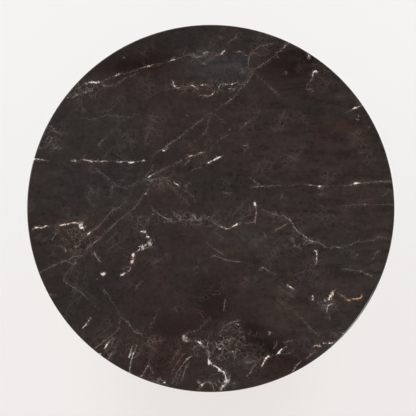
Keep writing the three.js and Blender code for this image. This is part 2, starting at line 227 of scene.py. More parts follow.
def filleted(corners, closed=True, steps=4):
    # An outline of (radius, height, fillet) corners with an arc in each. The arc touches both sides at
    # fillet / tan(half the inner angle) from the corner, and between them v(t) swings about its centre:
    # v(t) = (sin((1 - t) turn) start + sin(t turn) end) / sin(turn).
    points = []
    flat = [np.array(corner[:2], float) for corner in corners]
    for i, (corner, here) in enumerate(zip(corners, flat)):
        fillet = corner[2] if len(corner) > 2 else 0
        atEnd = not closed and i in (0, len(corners) - 1)
        if fillet == 0 or atEnd:
            points.append(here)
            continue
        back = flat[i - 1] - here
        ahead = flat[(i + 1) % len(flat)] - here
        backLength, aheadLength = np.linalg.norm(back), np.linalg.norm(ahead)
        back, ahead = back / backLength, ahead / aheadLength
        half = np.arccos(np.clip(back @ ahead, -1, 1)) / 2
        if half > pi / 2 - 0.01:
            points.append(here)
            continue
        reach = min(fillet / tan(half), 0.48 * backLength, 0.48 * aheadLength)
        middle = (back + ahead) / np.linalg.norm(back + ahead)
        centre = here + middle * reach / np.cos(half)
        start, end = here + back * reach - centre, here + ahead * reach - centre
        turn = pi - 2 * half
        t = np.linspace(0, 1, steps + 1)[:, None]
        points.extend(centre + (np.sin((1 - t) * turn) * start + np.sin(t * turn) * end) / np.sin(turn))
    return np.array(points)


def turnedPiece(name, outline, material, segments=128, centre=(0, 0), sharpAngle=32):
    # A lathe: the outline's radius and height are the same at every angle.
    angles = evenAngles(segments)
    radius = outline[:, :1] + 0 * angles
    height = outline[:, 1:] + 0 * angles
    return radialPiece(name, radius, height, angles, material, centre, sharpAngle)


def hexRadius(acrossFlats, angles):
    # Distance from the middle of a hexagon to its side: (flats / 2) / cos(angle off the nearest flat).
    return acrossFlats / 2 / np.cos(angles % (pi / 3) - pi / 6)


def threadRadius(height, angles, crest, pitch, depth):
    # A helix: the radius falls from the crest by depth times a rounded triangle wave of
    # height / pitch - angle / 2 pi.
    phase = (height / pitch - angles / (2 * pi)) % 1
    return crest - depth * (0.5 - 0.5 * np.cos(2 * pi * phase)) ** 0.8


def threadedRows(low, high, angles, crest, pitch, depth, chamfer=1.0, rowsPerTurn=7):
    # Rows of a threaded shank between two heights, with a cone that limits the radius at its upper end.
    rows = int((high - low) / pitch * rowsPerTurn) + 2
    height = np.linspace(low, high, rows)[:, None] + 0 * angles
    radius = threadRadius(height, angles, crest, pitch, depth)
    return np.minimum(radius, crest - chamfer + (high - height)), height


def ringOutline(inner, outer, low, high, rounds, steps=4):
    # A rounded four-cornered section: inner low, outer low, outer high, inner high.
    return filleted(list(zip((inner, outer, outer, inner), (low, low, high, high), rounds)), steps=steps)


def standIn(piece, node, body="pedestal"):
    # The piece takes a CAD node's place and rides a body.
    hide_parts(node)
    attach(piece, body)


def smoothStep(low, high, value):
    # t^2 (3 - 2 t), where t is the value's share of the way from low to high, kept within 0 to 1.
    t = np.clip((value - low) / (high - low), 0, 1)
    return t * t * (3 - 2 * t)


# Veins in millimetres from the middle of the top, x to the right and y away: each point is x, y and how
# bright and wide the calcite is there, from 0 to 1.
paleVeins = [
    # upper left: the long vein and its lower branch
    [(-312, 304, 0.4), (-300, 307, 0.6), (-291, 309, 1), (-276, 308, 0.9), (-266, 311, 0.4),
     (-252, 317, 0.45), (-238, 323, 0.5), (-228, 328, 0.9), (-220, 330, 0.5), (-205, 331, 0.4),
     (-190, 336, 0.4), (-170, 343, 0.5), (-153, 348, 0.85), (-146, 348, 0.7), (-135, 353, 0.45),
     (-118, 356, 0.25), (-102, 360, 0.5), (-94, 364, 0.9), (-82, 367, 0.5), (-66, 372, 0.35),
     (-48, 376, 0.45), (-30, 373, 0.35), (-8, 375, 0.35)],
    [(-266, 308, 0.5), (-264, 302, 0.75), (-257, 298, 0.5), (-245, 299, 0.45), (-232, 304, 0.4),
     (-219, 312, 0.5), (-208, 320, 0.4), (-194, 325, 0.35), (-180, 333, 0.25)],
    [(-327, 264, 0.25), (-317, 250, 0.35), (-308, 239, 0.35), (-299, 231, 0.2)],
    [(-345, 275, 0.5), (-337, 282, 0.35), (-330, 276, 0.4), (-320, 280, 0.4), (-308, 284, 0.5),
     (-297, 286, 0.45), (-289, 292, 0.5), (-288, 300, 0.4)],
    # grey waves, upper left
    [(-328, 223, 0.2), (-310, 220, 0.3), (-290, 219, 0.35), (-275, 221, 0.3), (-262, 226, 0.4),
     (-254, 230, 0.35), (-238, 226, 0.3), (-215, 226, 0.25), (-198, 225, 0.3), (-178, 231, 0.3)],
    [(-285, 236, 0.15), (-262, 237, 0.25), (-250, 240, 0.25), (-236, 250, 0.2)],
    [(-262, 169, 0.55), (-269, 163, 0.45), (-274, 155, 0.7)],
    [(-262, 170, 0.25), (-245, 185, 0.25), (-230, 201, 0.25), (-208, 223, 0.2)],
    # the straight seam on the left
    [(-446, 121, 0.8), (-434, 121, 1), (-420, 120, 0.95), (-410, 118, 0.6), (-396, 116, 0.2)],
    [(-342, 117, 0.5), (-333, 116, 0.9), (-324, 117, 0.35), (-314, 119, 0.6), (-300, 117, 0.8),
     (-289, 116, 1), (-278, 116, 0.6), (-265, 116, 0.85), (-248, 116, 0.4), (-232, 116, 0.5),
     (-222, 114, 0.95), (-210, 115, 0.5), (-197, 113, 1), (-184, 114, 0.6), (-173, 116, 0.5),
     (-164, 117, 0.9), (-158, 117, 0.4)],
    [(-318, 119, 0.5), (-311, 124, 0.5), (-305, 131, 0.35)],
    [(-262, 121, 0.25), (-258, 130, 0.3), (-254, 138, 0.2)],
    # the long diagonal from the middle to the upper right, with its twin
    [(-143, 128, 0.35), (-130, 140, 0.45), (-120, 145, 0.4), (-110, 150, 0.5), (-103, 157, 0.55),
     (-92, 165, 0.45), (-78, 173, 0.5), (-62, 186, 0.4), (-46, 199, 0.4), (-30, 212, 0.45), (-12, 226, 0.3),
     (10, 240, 0.25), (28, 252, 0.3), (42, 262, 0.5), (56, 275, 0.5), (70, 290, 0.4), (84, 302, 0.4),
     (94, 317, 0.45), (104, 335, 0.5), (116, 346, 0.5), (134, 358, 0.5), (152, 371, 0.45), (168, 384, 0.5),
     (182, 397, 0.7), (192, 407, 0.6)],
    [(72, 305, 0.4), (81, 306, 0.35), (88, 320, 0.4), (94, 331, 0.45), (103, 342, 0.4)],
    [(170, 384, 0.4), (178, 393, 0.5), (181, 402, 0.5), (184, 411, 0.4)],
    # the second diagonal and its beads
    [(-153, 77, 0.85), (-140, 84, 0.6), (-125, 92, 0.5), (-110, 99, 0.45), (-94, 106, 0.3), (-80, 113, 0.5),
     (-70, 117, 0.35)],
    [(-62, 124, 0.3), (-52, 128, 0.8), (-40, 130, 0.6), (-28, 134, 0.75), (-14, 139, 0.4)],
    [(-68, 104, 0.4), (-58, 113, 0.5), (-48, 123, 0.4)],
    [(-46, 94, 0.5), (-36, 98, 0.45), (-24, 101, 0.45)],
    [(-9, 111, 0.95), (4, 117, 0.85), (16, 123, 1), (29, 129, 0.7)],
    [(-142, 106, 0.3), (-148, 92, 0.4), (-157, 80, 0.4), (-163, 68, 0.3)],
    [(-292, 108, 0.25), (-281, 97, 0.3), (-271, 89, 0.4), (-256, 78, 0.4), (-243, 68, 0.4), (-232, 58, 0.35),
     (-216, 51, 0.35), (-200, 53, 0.3), (-184, 62, 0.3), (-170, 69, 0.25)],
    [(-242, 52, 0.4), (-242, 38, 0.25), (-249, 24, 0.2)],
    [(-298, 58, 0.25), (-291, 46, 0.4), (-288, 36, 0.3)],
    # right of the middle knot
    [(-160, 71, 0.5), (-149, 69, 0.6), (-142, 72, 0.5), (-134, 69, 0.6), (-126, 77, 0.3), (-114, 75, 0.35),
     (-106, 77, 0.6)],
    [(-121, 81, 0.3), (-111, 70, 0.4), (-103, 60, 0.35), (-94, 49, 0.35), (-82, 39, 0.35), (-68, 26, 0.35),
     (-53, 8, 0.3)],
    [(-90, 64, 0.7), (-83, 59, 0.85), (-77, 55, 0.6)],
    [(-140, 51, 0.25), (-121, 52, 0.35), (-108, 56, 0.35), (-97, 62, 0.25)],
    [(-70, 46, 0.3), (-56, 40, 0.35), (-46, 31, 0.35), (-38, 17, 0.3)],
    [(-64, 53, 0.4), (-57, 60, 0.4), (-50, 65, 0.4)],
    # down to the lower left
    [(-156, 62, 0.3), (-153, 50, 0.3), (-157, 40, 0.7), (-166, 31, 0.5), (-173, 22, 0.4), (-180, 10, 0.4),
     (-188, 1, 0.5), (-202, -11, 0.4), (-216, -22, 0.4), (-230, -33, 0.45), (-246, -48, 0.5),
     (-258, -61, 0.4), (-272, -74, 0.3)],
    [(-302, -107, 0.3), (-318, -115, 0.5), (-338, -119, 0.45), (-358, -128, 0.5), (-380, -138, 0.5),
     (-400, -147, 0.45), (-424, -158, 0.4)],
    [(-203, 28, 0.3), (-210, 17, 0.4), (-219, 7, 0.4), (-230, 2, 0.45), (-242, -7, 0.5), (-253, -19, 0.45),
     (-263, -31, 0.45), (-273, -42, 0.5), (-286, -52, 0.5), (-295, -58, 0.95), (-306, -68, 0.45),
     (-318, -77, 0.5), (-324, -84, 0.4)],
    [(-220, 0, 0.4), (-236, 1, 0.3), (-250, -8, 0.2)],
    [(-320, -86, 0.4), (-324, -92, 0.5), (-331, -95, 0.8)],
    # the seam on the lower left
    [(-438, -54, 0.5), (-430, -47, 0.95), (-420, -46, 0.8), (-412, -48, 0.95), (-403, -43, 0.8),
     (-394, -44, 0.3), (-378, -43, 0.25), (-368, -41, 0.8), (-358, -39, 0.9), (-346, -37, 0.8),
     (-334, -34, 0.75), (-326, -37, 0.6), (-320, -33, 0.9)],
    [(-371, -51, 0.4), (-380, -62, 0.5), (-388, -76, 0.5)],
    [(-364, -46, 0.35), (-351, -57, 0.45), (-339, -69, 0.5)],
    [(-368, -64, 0.3), (-356, -77, 0.35), (-342, -86, 0.25)],
    [(-388, -90, 0.25), (-372, -92, 0.35), (-360, -96, 0.4)],
    [(-336, -137, 0.3), (-348, -152, 0.4), (-357, -166, 0.45), (-361, -178, 0.45)],
    [(-356, -180, 0.5), (-345, -188, 0.5), (-333, -196, 0.4), (-322, -201, 0.4), (-309, -214, 0.5),
     (-297, -222, 0.3), (-284, -235, 0.25), (-272, -246, 0.25)],
    [(-398, -209, 0.6), (-389, -212, 0.4), (-379, -214, 0.35)],
    [(-285, -107, 0.75), (-281, -115, 0.6), (-277, -122, 0.65), (-269, -131, 0.5)],
    # the bright broken vein left of the middle
    [(-171, -57, 0.9), (-163, -56, 0.95), (-158, -62, 0.5), (-155, -68, 0.8)],
    [(-146, -76, 0.6), (-151, -83, 0.7), (-158, -88, 0.75), (-166, -92, 0.9), (-172, -98, 0.85),
     (-179, -104, 0.6), (-188, -108, 0.4)],
    [(-143, -84, 0.5), (-148, -90, 0.75), (-154, -95, 0.6), (-163, -97, 0.75), (-170, -102, 0.5)],
    [(-189, -110, 0.9), (-190, -120, 1), (-192, -129, 1), (-195, -136, 0.8), (-197, -145, 0.6),
     (-200, -153, 0.65), (-208, -158, 0.7), (-214, -160, 0.9), (-221, -164, 0.9)],
    [(-178, -106, 0.4), (-183, -116, 0.3), (-188, -130, 0.25), (-185, -142, 0.2)],
    [(-270, -158, 0.6), (-263, -161, 1), (-260, -160, 0.8), (-264, -167, 0.6)],
    [(-266, -194, 0.3), (-259, -203, 0.55), (-251, -212, 0.35), (-244, -226, 0.4), (-235, -238, 0.3),
     (-228, -250, 0.35), (-221, -264, 0.3)],
    [(-223, -265, 0.4), (-212, -270, 0.4), (-202, -280, 0.45), (-195, -290, 0.5), (-189, -296, 0.4),
     (-183, -302, 0.75), (-170, -306, 0.5)],
    [(-154, -325, 0.5), (-146, -321, 0.5), (-138, -327, 0.5), (-128, -324, 0.45), (-118, -323, 0.45)],
    [(-224, -272, 0.4), (-223, -286, 0.4), (-230, -300, 0.45), (-244, -311, 0.45), (-258, -322, 0.5),
     (-271, -333, 0.45), (-290, -345, 0.5)],
    [(-238, -314, 0.45), (-247, -324, 0.6), (-253, -331, 0.9), (-259, -341, 0.95)],
    [(-233, -314, 0.35), (-240, -326, 0.45), (-245, -338, 0.6)],
    [(-222, -318, 0.3), (-230, -332, 0.35), (-238, -348, 0.45), (-250, -367, 0.7)],
    [(-278, -355, 0.5), (-269, -357, 0.9)],
    [(-192, -336, 0.5), (-195, -345, 0.7), (-196, -354, 0.9), (-200, -364, 0.8)],
    [(-184, -342, 0.5), (-188, -352, 0.7), (-193, -364, 0.7), (-196, -378, 0.6), (-198, -390, 0.7),
     (-199, -403, 0.7)],
    [(-154, -385, 0.9), (-160, -395, 0.6), (-165, -404, 0.6), (-170, -413, 0.8)],
    [(-147, -368, 0.3), (-152, -378, 0.4), (-146, -392, 0.4), (-142, -403, 0.45)],
    [(-152, -421, 0.35), (-136, -426, 0.4), (-123, -428, 0.5), (-112, -425, 0.85)],
    [(-295, -268, 0.85), (-301, -277, 0.8), (-306, -285, 0.75), (-314, -292, 0.7)],
    [(-127, -246, 0.2), (-137, -268, 0.35), (-143, -280, 0.35), (-150, -294, 0.25)],
    [(-169, -179, 0.35), (-178, -188, 0.4), (-184, -198, 0.3)],
    # fine swept lines near the lower rim
    [(-46, -361, 0.6), (-56, -367, 0.75), (-66, -378, 0.55), (-75, -391, 0.5), (-86, -409, 0.4),
     (-93, -428, 0.35)],
    [(-53, -378, 0.5), (-61, -389, 0.55), (-66, -402, 0.55), (-70, -420, 0.4)],
    [(-62, -354, 0.4), (-74, -367, 0.45), (-86, -383, 0.4), (-96, -404, 0.35)],
    [(-78, -348, 0.35), (-89, -362, 0.4), (-100, -379, 0.35)],
    [(-72, -396, 0.35), (-80, -412, 0.4), (-85, -430, 0.35)],
    # the bright knot and vein at the bottom
    [(-56, -305, 0.4), (-66, -311, 0.8), (-68, -319, 0.7), (-61, -324, 0.85), (-50, -322, 0.45),
     (-38, -324, 0.5), (-27, -328, 0.9), (-20, -336, 0.6)],
    [(-14, -342, 0.5), (-7, -350, 0.6), (-5, -362, 0.6), (-5, -374, 1), (1, -381, 0.9), (12, -386, 0.8),
     (23, -395, 1), (33, -401, 0.8), (36, -410, 0.8), (38, -420, 1), (36, -430, 0.9), (27, -438, 0.85),
     (23, -444, 0.7)],
    [(-60, -306, 0.45), (-47, -302, 0.4), (-30, -297, 0.35), (-18, -284, 0.35), (-2, -268, 0.3)],
    [(-46, -345, 0.4), (-38, -338, 0.5), (-28, -334, 0.4)],
    [(-33, -424, 0.8), (-26, -427, 0.7), (-22, -433, 0.85), (-17, -427, 0.75), (-8, -424, 0.5)],
    [(-8, -424, 0.5), (0, -426, 0.6), (5, -434, 0.6), (9, -446, 0.55)],
    [(-32, -442, 0.6), (-25, -440, 0.5)],
    [(-28, -128, 0.25), (-33, -140, 0.4), (-43, -151, 0.3)],
    # the beaded line across the middle
    [(-148, 6, 0.3), (-140, -4, 0.5), (-130, -12, 0.5), (-120, -18, 0.6), (-108, -25, 0.6), (-96, -30, 0.4),
     (-84, -32, 0.4), (-70, -27, 0.45), (-56, -29, 0.5), (-42, -22, 0.5), (-30, -30, 0.45), (-16, -23, 0.45),
     (-4, -28, 0.5), (8, -36, 0.45), (20, -42, 0.45), (30, -47, 0.9), (42, -50, 0.6), (52, -45, 0.65),
     (63, -39, 0.9), (76, -34, 0.3), (90, -37, 0.45), (100, -34, 0.55), (108, -33, 0.6), (110, -24, 0.6),
     (111, -12, 0.65), (111, 0, 0.5), (109, 7, 1), (108, 15, 0.8)],
    [(-44, -37, 0.3), (-32, -40, 0.35), (-18, -36, 0.35)],
    [(-88, -17, 0.4), (-80, -16, 0.4), (-75, -23, 0.4)],
    # and on to the right rim
    [(118, -2, 0.3), (130, -5, 0.35), (144, -10, 0.4), (156, -13, 0.5), (166, -18, 0.45), (177, -18, 0.5),
     (189, -25, 0.6), (198, -34, 0.65), (204, -45, 0.6), (212, -55, 0.6), (222, -62, 0.5), (231, -69, 0.75),
     (240, -77, 0.6), (248, -80, 0.8), (259, -84, 0.45), (270, -85, 0.55), (279, -93, 0.5), (291, -96, 0.4),
     (301, -93, 0.45), (308, -95, 0.8), (320, -95, 0.35), (334, -91, 0.4), (347, -87, 0.4), (361, -80, 0.45),
     (376, -80, 0.35), (390, -79, 0.5), (401, -76, 0.4), (409, -69, 0.5), (424, -71, 0.35), (448, -80, 0.25)],
    [(130, -61, 0.45), (134, -70, 0.4)],
    [(200, -74, 0.4), (203, -86, 0.5), (209, -94, 0.45), (218, -98, 0.4)],
    [(254, -101, 1), (259, -109, 0.8), (259, -118, 0.8), (259, -128, 0.65), (256, -136, 0.7)],
    [(1, -118, 0.4), (15, -117, 0.4), (28, -122, 0.45), (40, -126, 0.5), (55, -129, 0.5), (72, -130, 0.5)],
    [(-10, -84, 0.25), (4, -95, 0.3), (20, -107, 0.4), (32, -115, 0.4)],
    [(117, -151, 0.4), (126, -144, 0.6), (135, -149, 0.4), (147, -157, 0.4), (163, -161, 0.3)],
    [(188, -187, 0.9), (195, -192, 0.85), (204, -198, 0.6)],
    # lower right
    [(249, -214, 0.9), (249, -224, 0.9)],
    [(306, -198, 0.4), (298, -205, 0.9), (294, -213, 1), (289, -223, 0.9)],
    [(298, -234, 0.7), (290, -236, 0.8), (285, -243, 0.75), (284, -254, 0.6)],
    [(262, -220, 0.35), (262, -228, 0.4), (266, -236, 0.4)],
    [(323, -147, 0.45), (340, -150, 0.5), (356, -152, 0.35), (369, -154, 0.6), (381, -160, 0.5),
     (394, -164, 0.55)],
    [(394, -126, 0.3), (402, -116, 0.35), (410, -104, 0.35)],
    [(248, -339, 0.55), (260, -335, 0.8), (268, -337, 0.95)],
    [(276, -330, 0.8), (290, -329, 0.85), (308, -329, 0.8)],
    [(185, -338, 0.6), (177, -342, 0.8), (170, -349, 0.9), (164, -355, 1), (156, -359, 0.4), (148, -360, 0.6),
     (140, -362, 0.9), (134, -368, 0.9), (130, -376, 0.8), (125, -386, 0.8)],
    [(154, -341, 0.5), (159, -332, 0.55), (161, -324, 0.4)],
    [(181, -328, 0.5), (189, -325, 0.5), (199, -325, 0.4)],
    [(176, -357, 0.35), (189, -354, 0.4), (201, -350, 0.35)],
    [(80, -373, 0.5), (91, -377, 0.6), (103, -374, 0.5), (117, -369, 0.4)],
    [(112, -376, 0.4), (105, -386, 0.5), (100, -397, 0.55), (94, -405, 0.6), (88, -410, 0.6)],
    [(222, -372, 0.4), (213, -380, 0.6), (206, -391, 0.6), (198, -402, 0.5)],
    [(256, -349, 0.35), (246, -356, 0.5), (235, -367, 0.5)],
    [(168, -226, 0.15), (192, -244, 0.2), (216, -262, 0.25), (240, -289, 0.4), (254, -302, 0.45),
     (272, -317, 0.3)],
    [(318, -303, 0.6), (328, -306, 0.7), (340, -302, 0.5)],
    [(35, -223, 0.4), (34, -235, 0.6), (31, -249, 0.5)],
    [(22, -304, 0.5), (28, -295, 0.6), (32, -287, 0.45), (43, -281, 0.5), (56, -278, 0.6), (70, -275, 0.4)],
    [(29, -303, 0.3), (41, -295, 0.4), (51, -288, 0.35), (60, -281, 0.3)],
    [(63, -280, 0.5), (68, -285, 0.7)],
    [(70, -293, 0.4), (72, -304, 0.5)],
    # upper middle
    [(24, 377, 0.7), (29, 381, 0.95), (35, 388, 0.8)],
    [(40, 401, 0.3), (52, 412, 0.45), (60, 418, 0.5), (66, 427, 0.35)],
    [(92, 340, 0.35), (92, 356, 0.5), (93, 369, 0.5), (97, 380, 0.45), (107, 388, 0.45), (119, 396, 0.5),
     (132, 400, 0.5), (146, 403, 0.4), (161, 409, 0.3)],
    [(-93, 312, 0.7), (-92, 304, 0.8), (-87, 298, 0.75), (-80, 295, 0.75), (-72, 297, 0.4), (-62, 298, 0.45),
     (-54, 298, 0.6), (-46, 301, 0.8), (-40, 298, 0.65), (-33, 292, 0.5)],
    [(-98, 305, 0.5), (-93, 301, 0.6), (-88, 305, 0.4)],
    [(-60, 305, 0.4), (-50, 303, 0.45), (-42, 308, 0.4)],
    [(-25, 302, 0.8), (-13, 302, 0.75), (-7, 301, 0.55), (2, 293, 0.45)],
    [(-25, 277, 0.75), (-12, 275, 0.65), (0, 277, 0.7), (6, 282, 0.75), (10, 287, 0.6)],
    [(15, 284, 0.65), (19, 292, 0.5), (20, 300, 0.75), (27, 305, 0.55), (38, 304, 0.75), (45, 302, 0.5),
     (51, 304, 0.85), (57, 306, 0.7), (65, 308, 0.45), (73, 304, 0.5), (82, 302, 0.4)],
    [(45, 293, 0.7), (57, 293, 0.65)],
    [(-48, 359, 0.55), (-42, 366, 0.5), (-47, 374, 0.6)],
    [(-22, 356, 0.6), (-14, 354, 0.55)],
    [(-33, 371, 0.5), (-24, 371, 0.55)],
    [(12, 374, 0.6), (20, 376, 0.5)],
    [(106, 331, 0.3), (119, 320, 0.25), (132, 309, 0.2), (144, 299, 0.4), (151, 292, 0.45), (158, 283, 0.45),
     (168, 277, 0.3)],
    # upper right
    [(234, 380, 0.4), (240, 375, 0.75), (240, 366, 0.75)],
    [(263, 332, 0.5), (255, 336, 0.9), (250, 330, 0.85), (249, 320, 0.5), (243, 310, 0.45), (234, 299, 0.35),
     (235, 292, 0.45), (244, 292, 0.5), (249, 287, 0.4)],
    [(333, 235, 0.35), (345, 243, 0.5), (354, 246, 0.95), (364, 250, 0.7), (376, 256, 0.5)],
    [(308, 275, 0.5), (318, 274, 0.25), (331, 273, 0.15)],
    # the seam on the right
    [(93, 76, 0.4), (100, 73, 0.3), (107, 67, 0.55), (113, 61, 0.5), (119, 57, 0.4)],
    [(99, 55, 0.5), (103, 52, 0.5), (117, 54, 0.6), (140, 55, 0.4), (172, 57, 0.25), (200, 58, 0.25),
     (226, 57, 0.2), (246, 58, 0.7), (256, 56, 0.4), (267, 54, 1), (280, 55, 0.35), (300, 56, 0.2),
     (328, 57, 0.3), (343, 57, 0.55), (354, 62, 0.9), (370, 62, 0.55), (392, 64, 0.35), (412, 67, 0.6),
     (424, 66, 0.55), (452, 68, 0.3)],
    [(32, 37, 0.6), (42, 38, 0.45), (51, 40, 0.4)],
    [(326, 7, 0.35), (345, 8, 0.35), (364, 10, 0.4), (376, 11, 0.45), (392, 8, 0.3), (412, 9, 0.35),
     (430, 10, 0.35), (452, 9, 0.3)],
    [(76, 154, 0.35), (84, 154, 0.6), (91, 155, 0.45)],
    [(80, 136, 0.3), (85, 143, 0.35), (91, 149, 0.25)],
    [(15, 167, 0.3), (28, 174, 0.4), (43, 181, 0.35)],
    [(2, 236, 0.25), (-4, 218, 0.35), (-8, 200, 0.35), (-16, 182, 0.35), (-28, 172, 0.25), (-37, 165, 0.2)],
    [(12, 230, 0.25), (22, 219, 0.3), (35, 208, 0.25)],
    # swept lines by the left rim
    [(-406, 196, 0.3), (-393, 202, 0.5), (-383, 192, 0.5), (-376, 186, 0.55), (-366, 180, 0.3)],
    [(-404, 184, 0.3), (-390, 190, 0.4), (-380, 187, 0.5)],
    [(-386, 172, 0.3), (-394, 163, 0.45), (-401, 155, 0.3)],
    [(-373, 155, 0.35), (-379, 149, 0.55), (-386, 144, 0.35)],
    [(-424, 157, 0.4), (-419, 150, 0.5), (-412, 144, 0.3)],
]

# Veins that iron has stained from beige to rust.
rustVeins = [
    [(-268, -70, 0.3), (-280, -79, 0.6), (-291, -89, 0.6), (-302, -99, 0.5), (-309, -108, 0.35)],
    [(-328, -99, 0.3), (-331, -108, 0.4), (-325, -118, 0.35)],
    [(-357, -98, 0.7), (-355, -105, 0.75)],
    [(-349, -130, 0.6), (-340, -135, 0.7), (-332, -134, 0.6), (-330, -126, 0.5)],
    [(151, -59, 0.35), (163, -51, 0.5), (174, -45, 0.7), (184, -39, 0.5), (191, -36, 0.35)],
    [(309, -206, 0.35), (319, -212, 0.5), (330, -221, 0.6), (338, -226, 0.8), (345, -221, 0.75),
     (356, -221, 0.9), (366, -219, 0.95), (371, -212, 0.8)],
    [(289, -263, 0.6), (291, -271, 0.55)],
    [(60, 382, 0.5), (70, 384, 0.75), (77, 380, 0.55), (84, 376, 0.45), (94, 371, 0.5), (95, 362, 0.4)],
    [(96, 374, 0.6), (105, 380, 0.55), (113, 377, 0.45), (122, 371, 0.35)],
    [(26, -46, 0.6), (34, -49, 0.7)],
    [(-242, -352, 0.5), (-251, -366, 0.6)],
    [(-60, -312, 0.5), (-70, -316, 0.5)],
    [(110, -6, 0.35), (109, -20, 0.45), (105, -30, 0.4)],
]

# Lone flecks and knots of calcite: x, y, radius, brightness.
flecks = [
    (-319, -38, 9, 1), (-316, -48, 8, 1), (-309, -45, 6, 0.6), (-115, 142, 5, 1), (-108, 146, 4, 0.6),
    (-242, 55, 4, 0.7), (-213, 368, 5, 0.6), (183, 332, 8, 0.4), (78, 336, 12, 0.3), (-15, 380, 7, 0.6),
    (144, -306, 8, 0.6), (-58, 227, 4, 0.6), (-274, 154, 4, 0.6), (-263, -161, 8, 1), (-277, -173, 4, 0.5),
    (-173, -40, 4, 0.6), (280, -226, 6, 0.7), (291, -218, 7, 1), (272, -236, 3.5, 0.7),
    (278, -236, 3.5, 0.7), (146, -305, 5, 0.6), (28, -332, 5, 0.8), (22, -344, 5, 0.8), (53, -349, 5, 0.7),
    (36, -326, 4, 0.5), (62, -336, 5, 0.4), (258, -182, 4, 0.4), (359, -113, 5, 0.45), (362, 227, 5, 0.6),
    (360, 217, 6, 0.6), (388, 198, 4, 0.5), (46, 192, 4, 0.6), (85, 209, 4, 0.5), (216, 140, 4, 0.6),
    (-9, 382, 5, 0.6), (18, 388, 4, 0.4), (14, 375, 4, 0.5), (165, 371, 4, 0.4), (-305, 305, 5, 0.7),
    (-296, 293, 5, 0.7), (-305, 284, 4, 0.7), (-318, 297, 4, 0.5), (-290, 288, 4, 0.6), (-350, 272, 5, 0.6),
    (-85, -19, 4, 0.5), (-118, -20, 4, 0.6), (-128, -17, 4, 0.5), (-141, -13, 4, 0.6), (230, -82, 6, 0.4),
    (205, -91, 6, 0.4), (-190, -356, 5, 0.7), (126, -144, 4, 0.7), (107, 11, 6, 1), (-47, -29, 4, 0.6),
    (-36, -25, 4, 0.4), (36, -422, 7, 0.9), (30, -434, 7, 0.8), (-4, -376, 6, 1), (-298, 309, 4, 0.7),
    (-22, -432, 8, 0.75), (-30, -425, 6, 0.6), (-197, -352, 6, 0.6), (-65, -317, 6, 0.8),
    (-150, 75, 5, 0.7),
    # knots on the broken vein left of the middle
    (-163, -56, 6, 1), (-155, -69, 6, 1), (-150, -86, 9, 0.75), (-168, -95, 9, 0.85), (-190, -114, 6, 1),
    (-191, -122, 6.5, 1), (-193, -131, 7, 1), (-216, -161, 7, 0.95), (-206, -144, 5, 0.4),
    (-213, -148, 5, 0.4),
    # on the seams at the left
    (-430, -47, 5, 0.8), (-415, -47, 5, 0.8), (-366, -40, 5, 0.8), (-356, -39, 5, 0.9), (-345, -37, 4, 0.8),
    (-432, 121, 4.5, 0.8), (-333, 116, 4.5, 0.8), (-290, 116, 4.5, 0.9), (-265, 116, 4.5, 0.8),
    (-222, 114, 4.5, 0.8), (-198, 113, 4.5, 0.8), (-162, 117, 4.5, 0.8),
    # on the bright vein at the bottom
    (-25, -328, 8, 0.85), (-17, -338, 7, 0.6), (-3, -378, 8, 0.95), (8, -385, 6, 0.7), (23, -395, 8, 0.8),
    (34, -402, 9, 0.85), (39, -421, 11, 0.85), (33, -433, 10, 0.8), (26, -440, 8, 0.8),
    (-65, -317, 11, 0.75), (-57, -320, 7, 0.6), (46, -409, 6, 0.5), (-12, -338, 6, 0.5), (-4, -362, 6, 0.5),
    (-6, -340, 5, 0.5),
    # on the veins at the lower right
    (167, -351, 7, 1), (141, -362, 5, 0.8), (131, -374, 5, 0.8), (265, -336, 6, 0.9), (277, -331, 5, 0.8),
    (298, -206, 6, 0.9), (294, -214, 7, 1), (258, -106, 4.5, 0.9), (258, -124, 4.5, 0.7),
    # on the long veins above
    (-291, 309, 4.5, 0.9), (-276, 308, 4.5, 0.9), (-228, 328, 5, 0.8), (-150, 348, 5, 0.8),
    (-93, 364, 5, 0.7), (-52, 128, 5, 0.7), (-28, 134, 5, 0.7), (-6, 112, 5, 0.8), (16, 123, 5, 0.9),
    (257, 333, 4.5, 0.8), (354, 246, 5, 0.9), (354, 62, 5, 0.9), (267, 54, 5, 1), (31, 383, 5, 0.8),
]

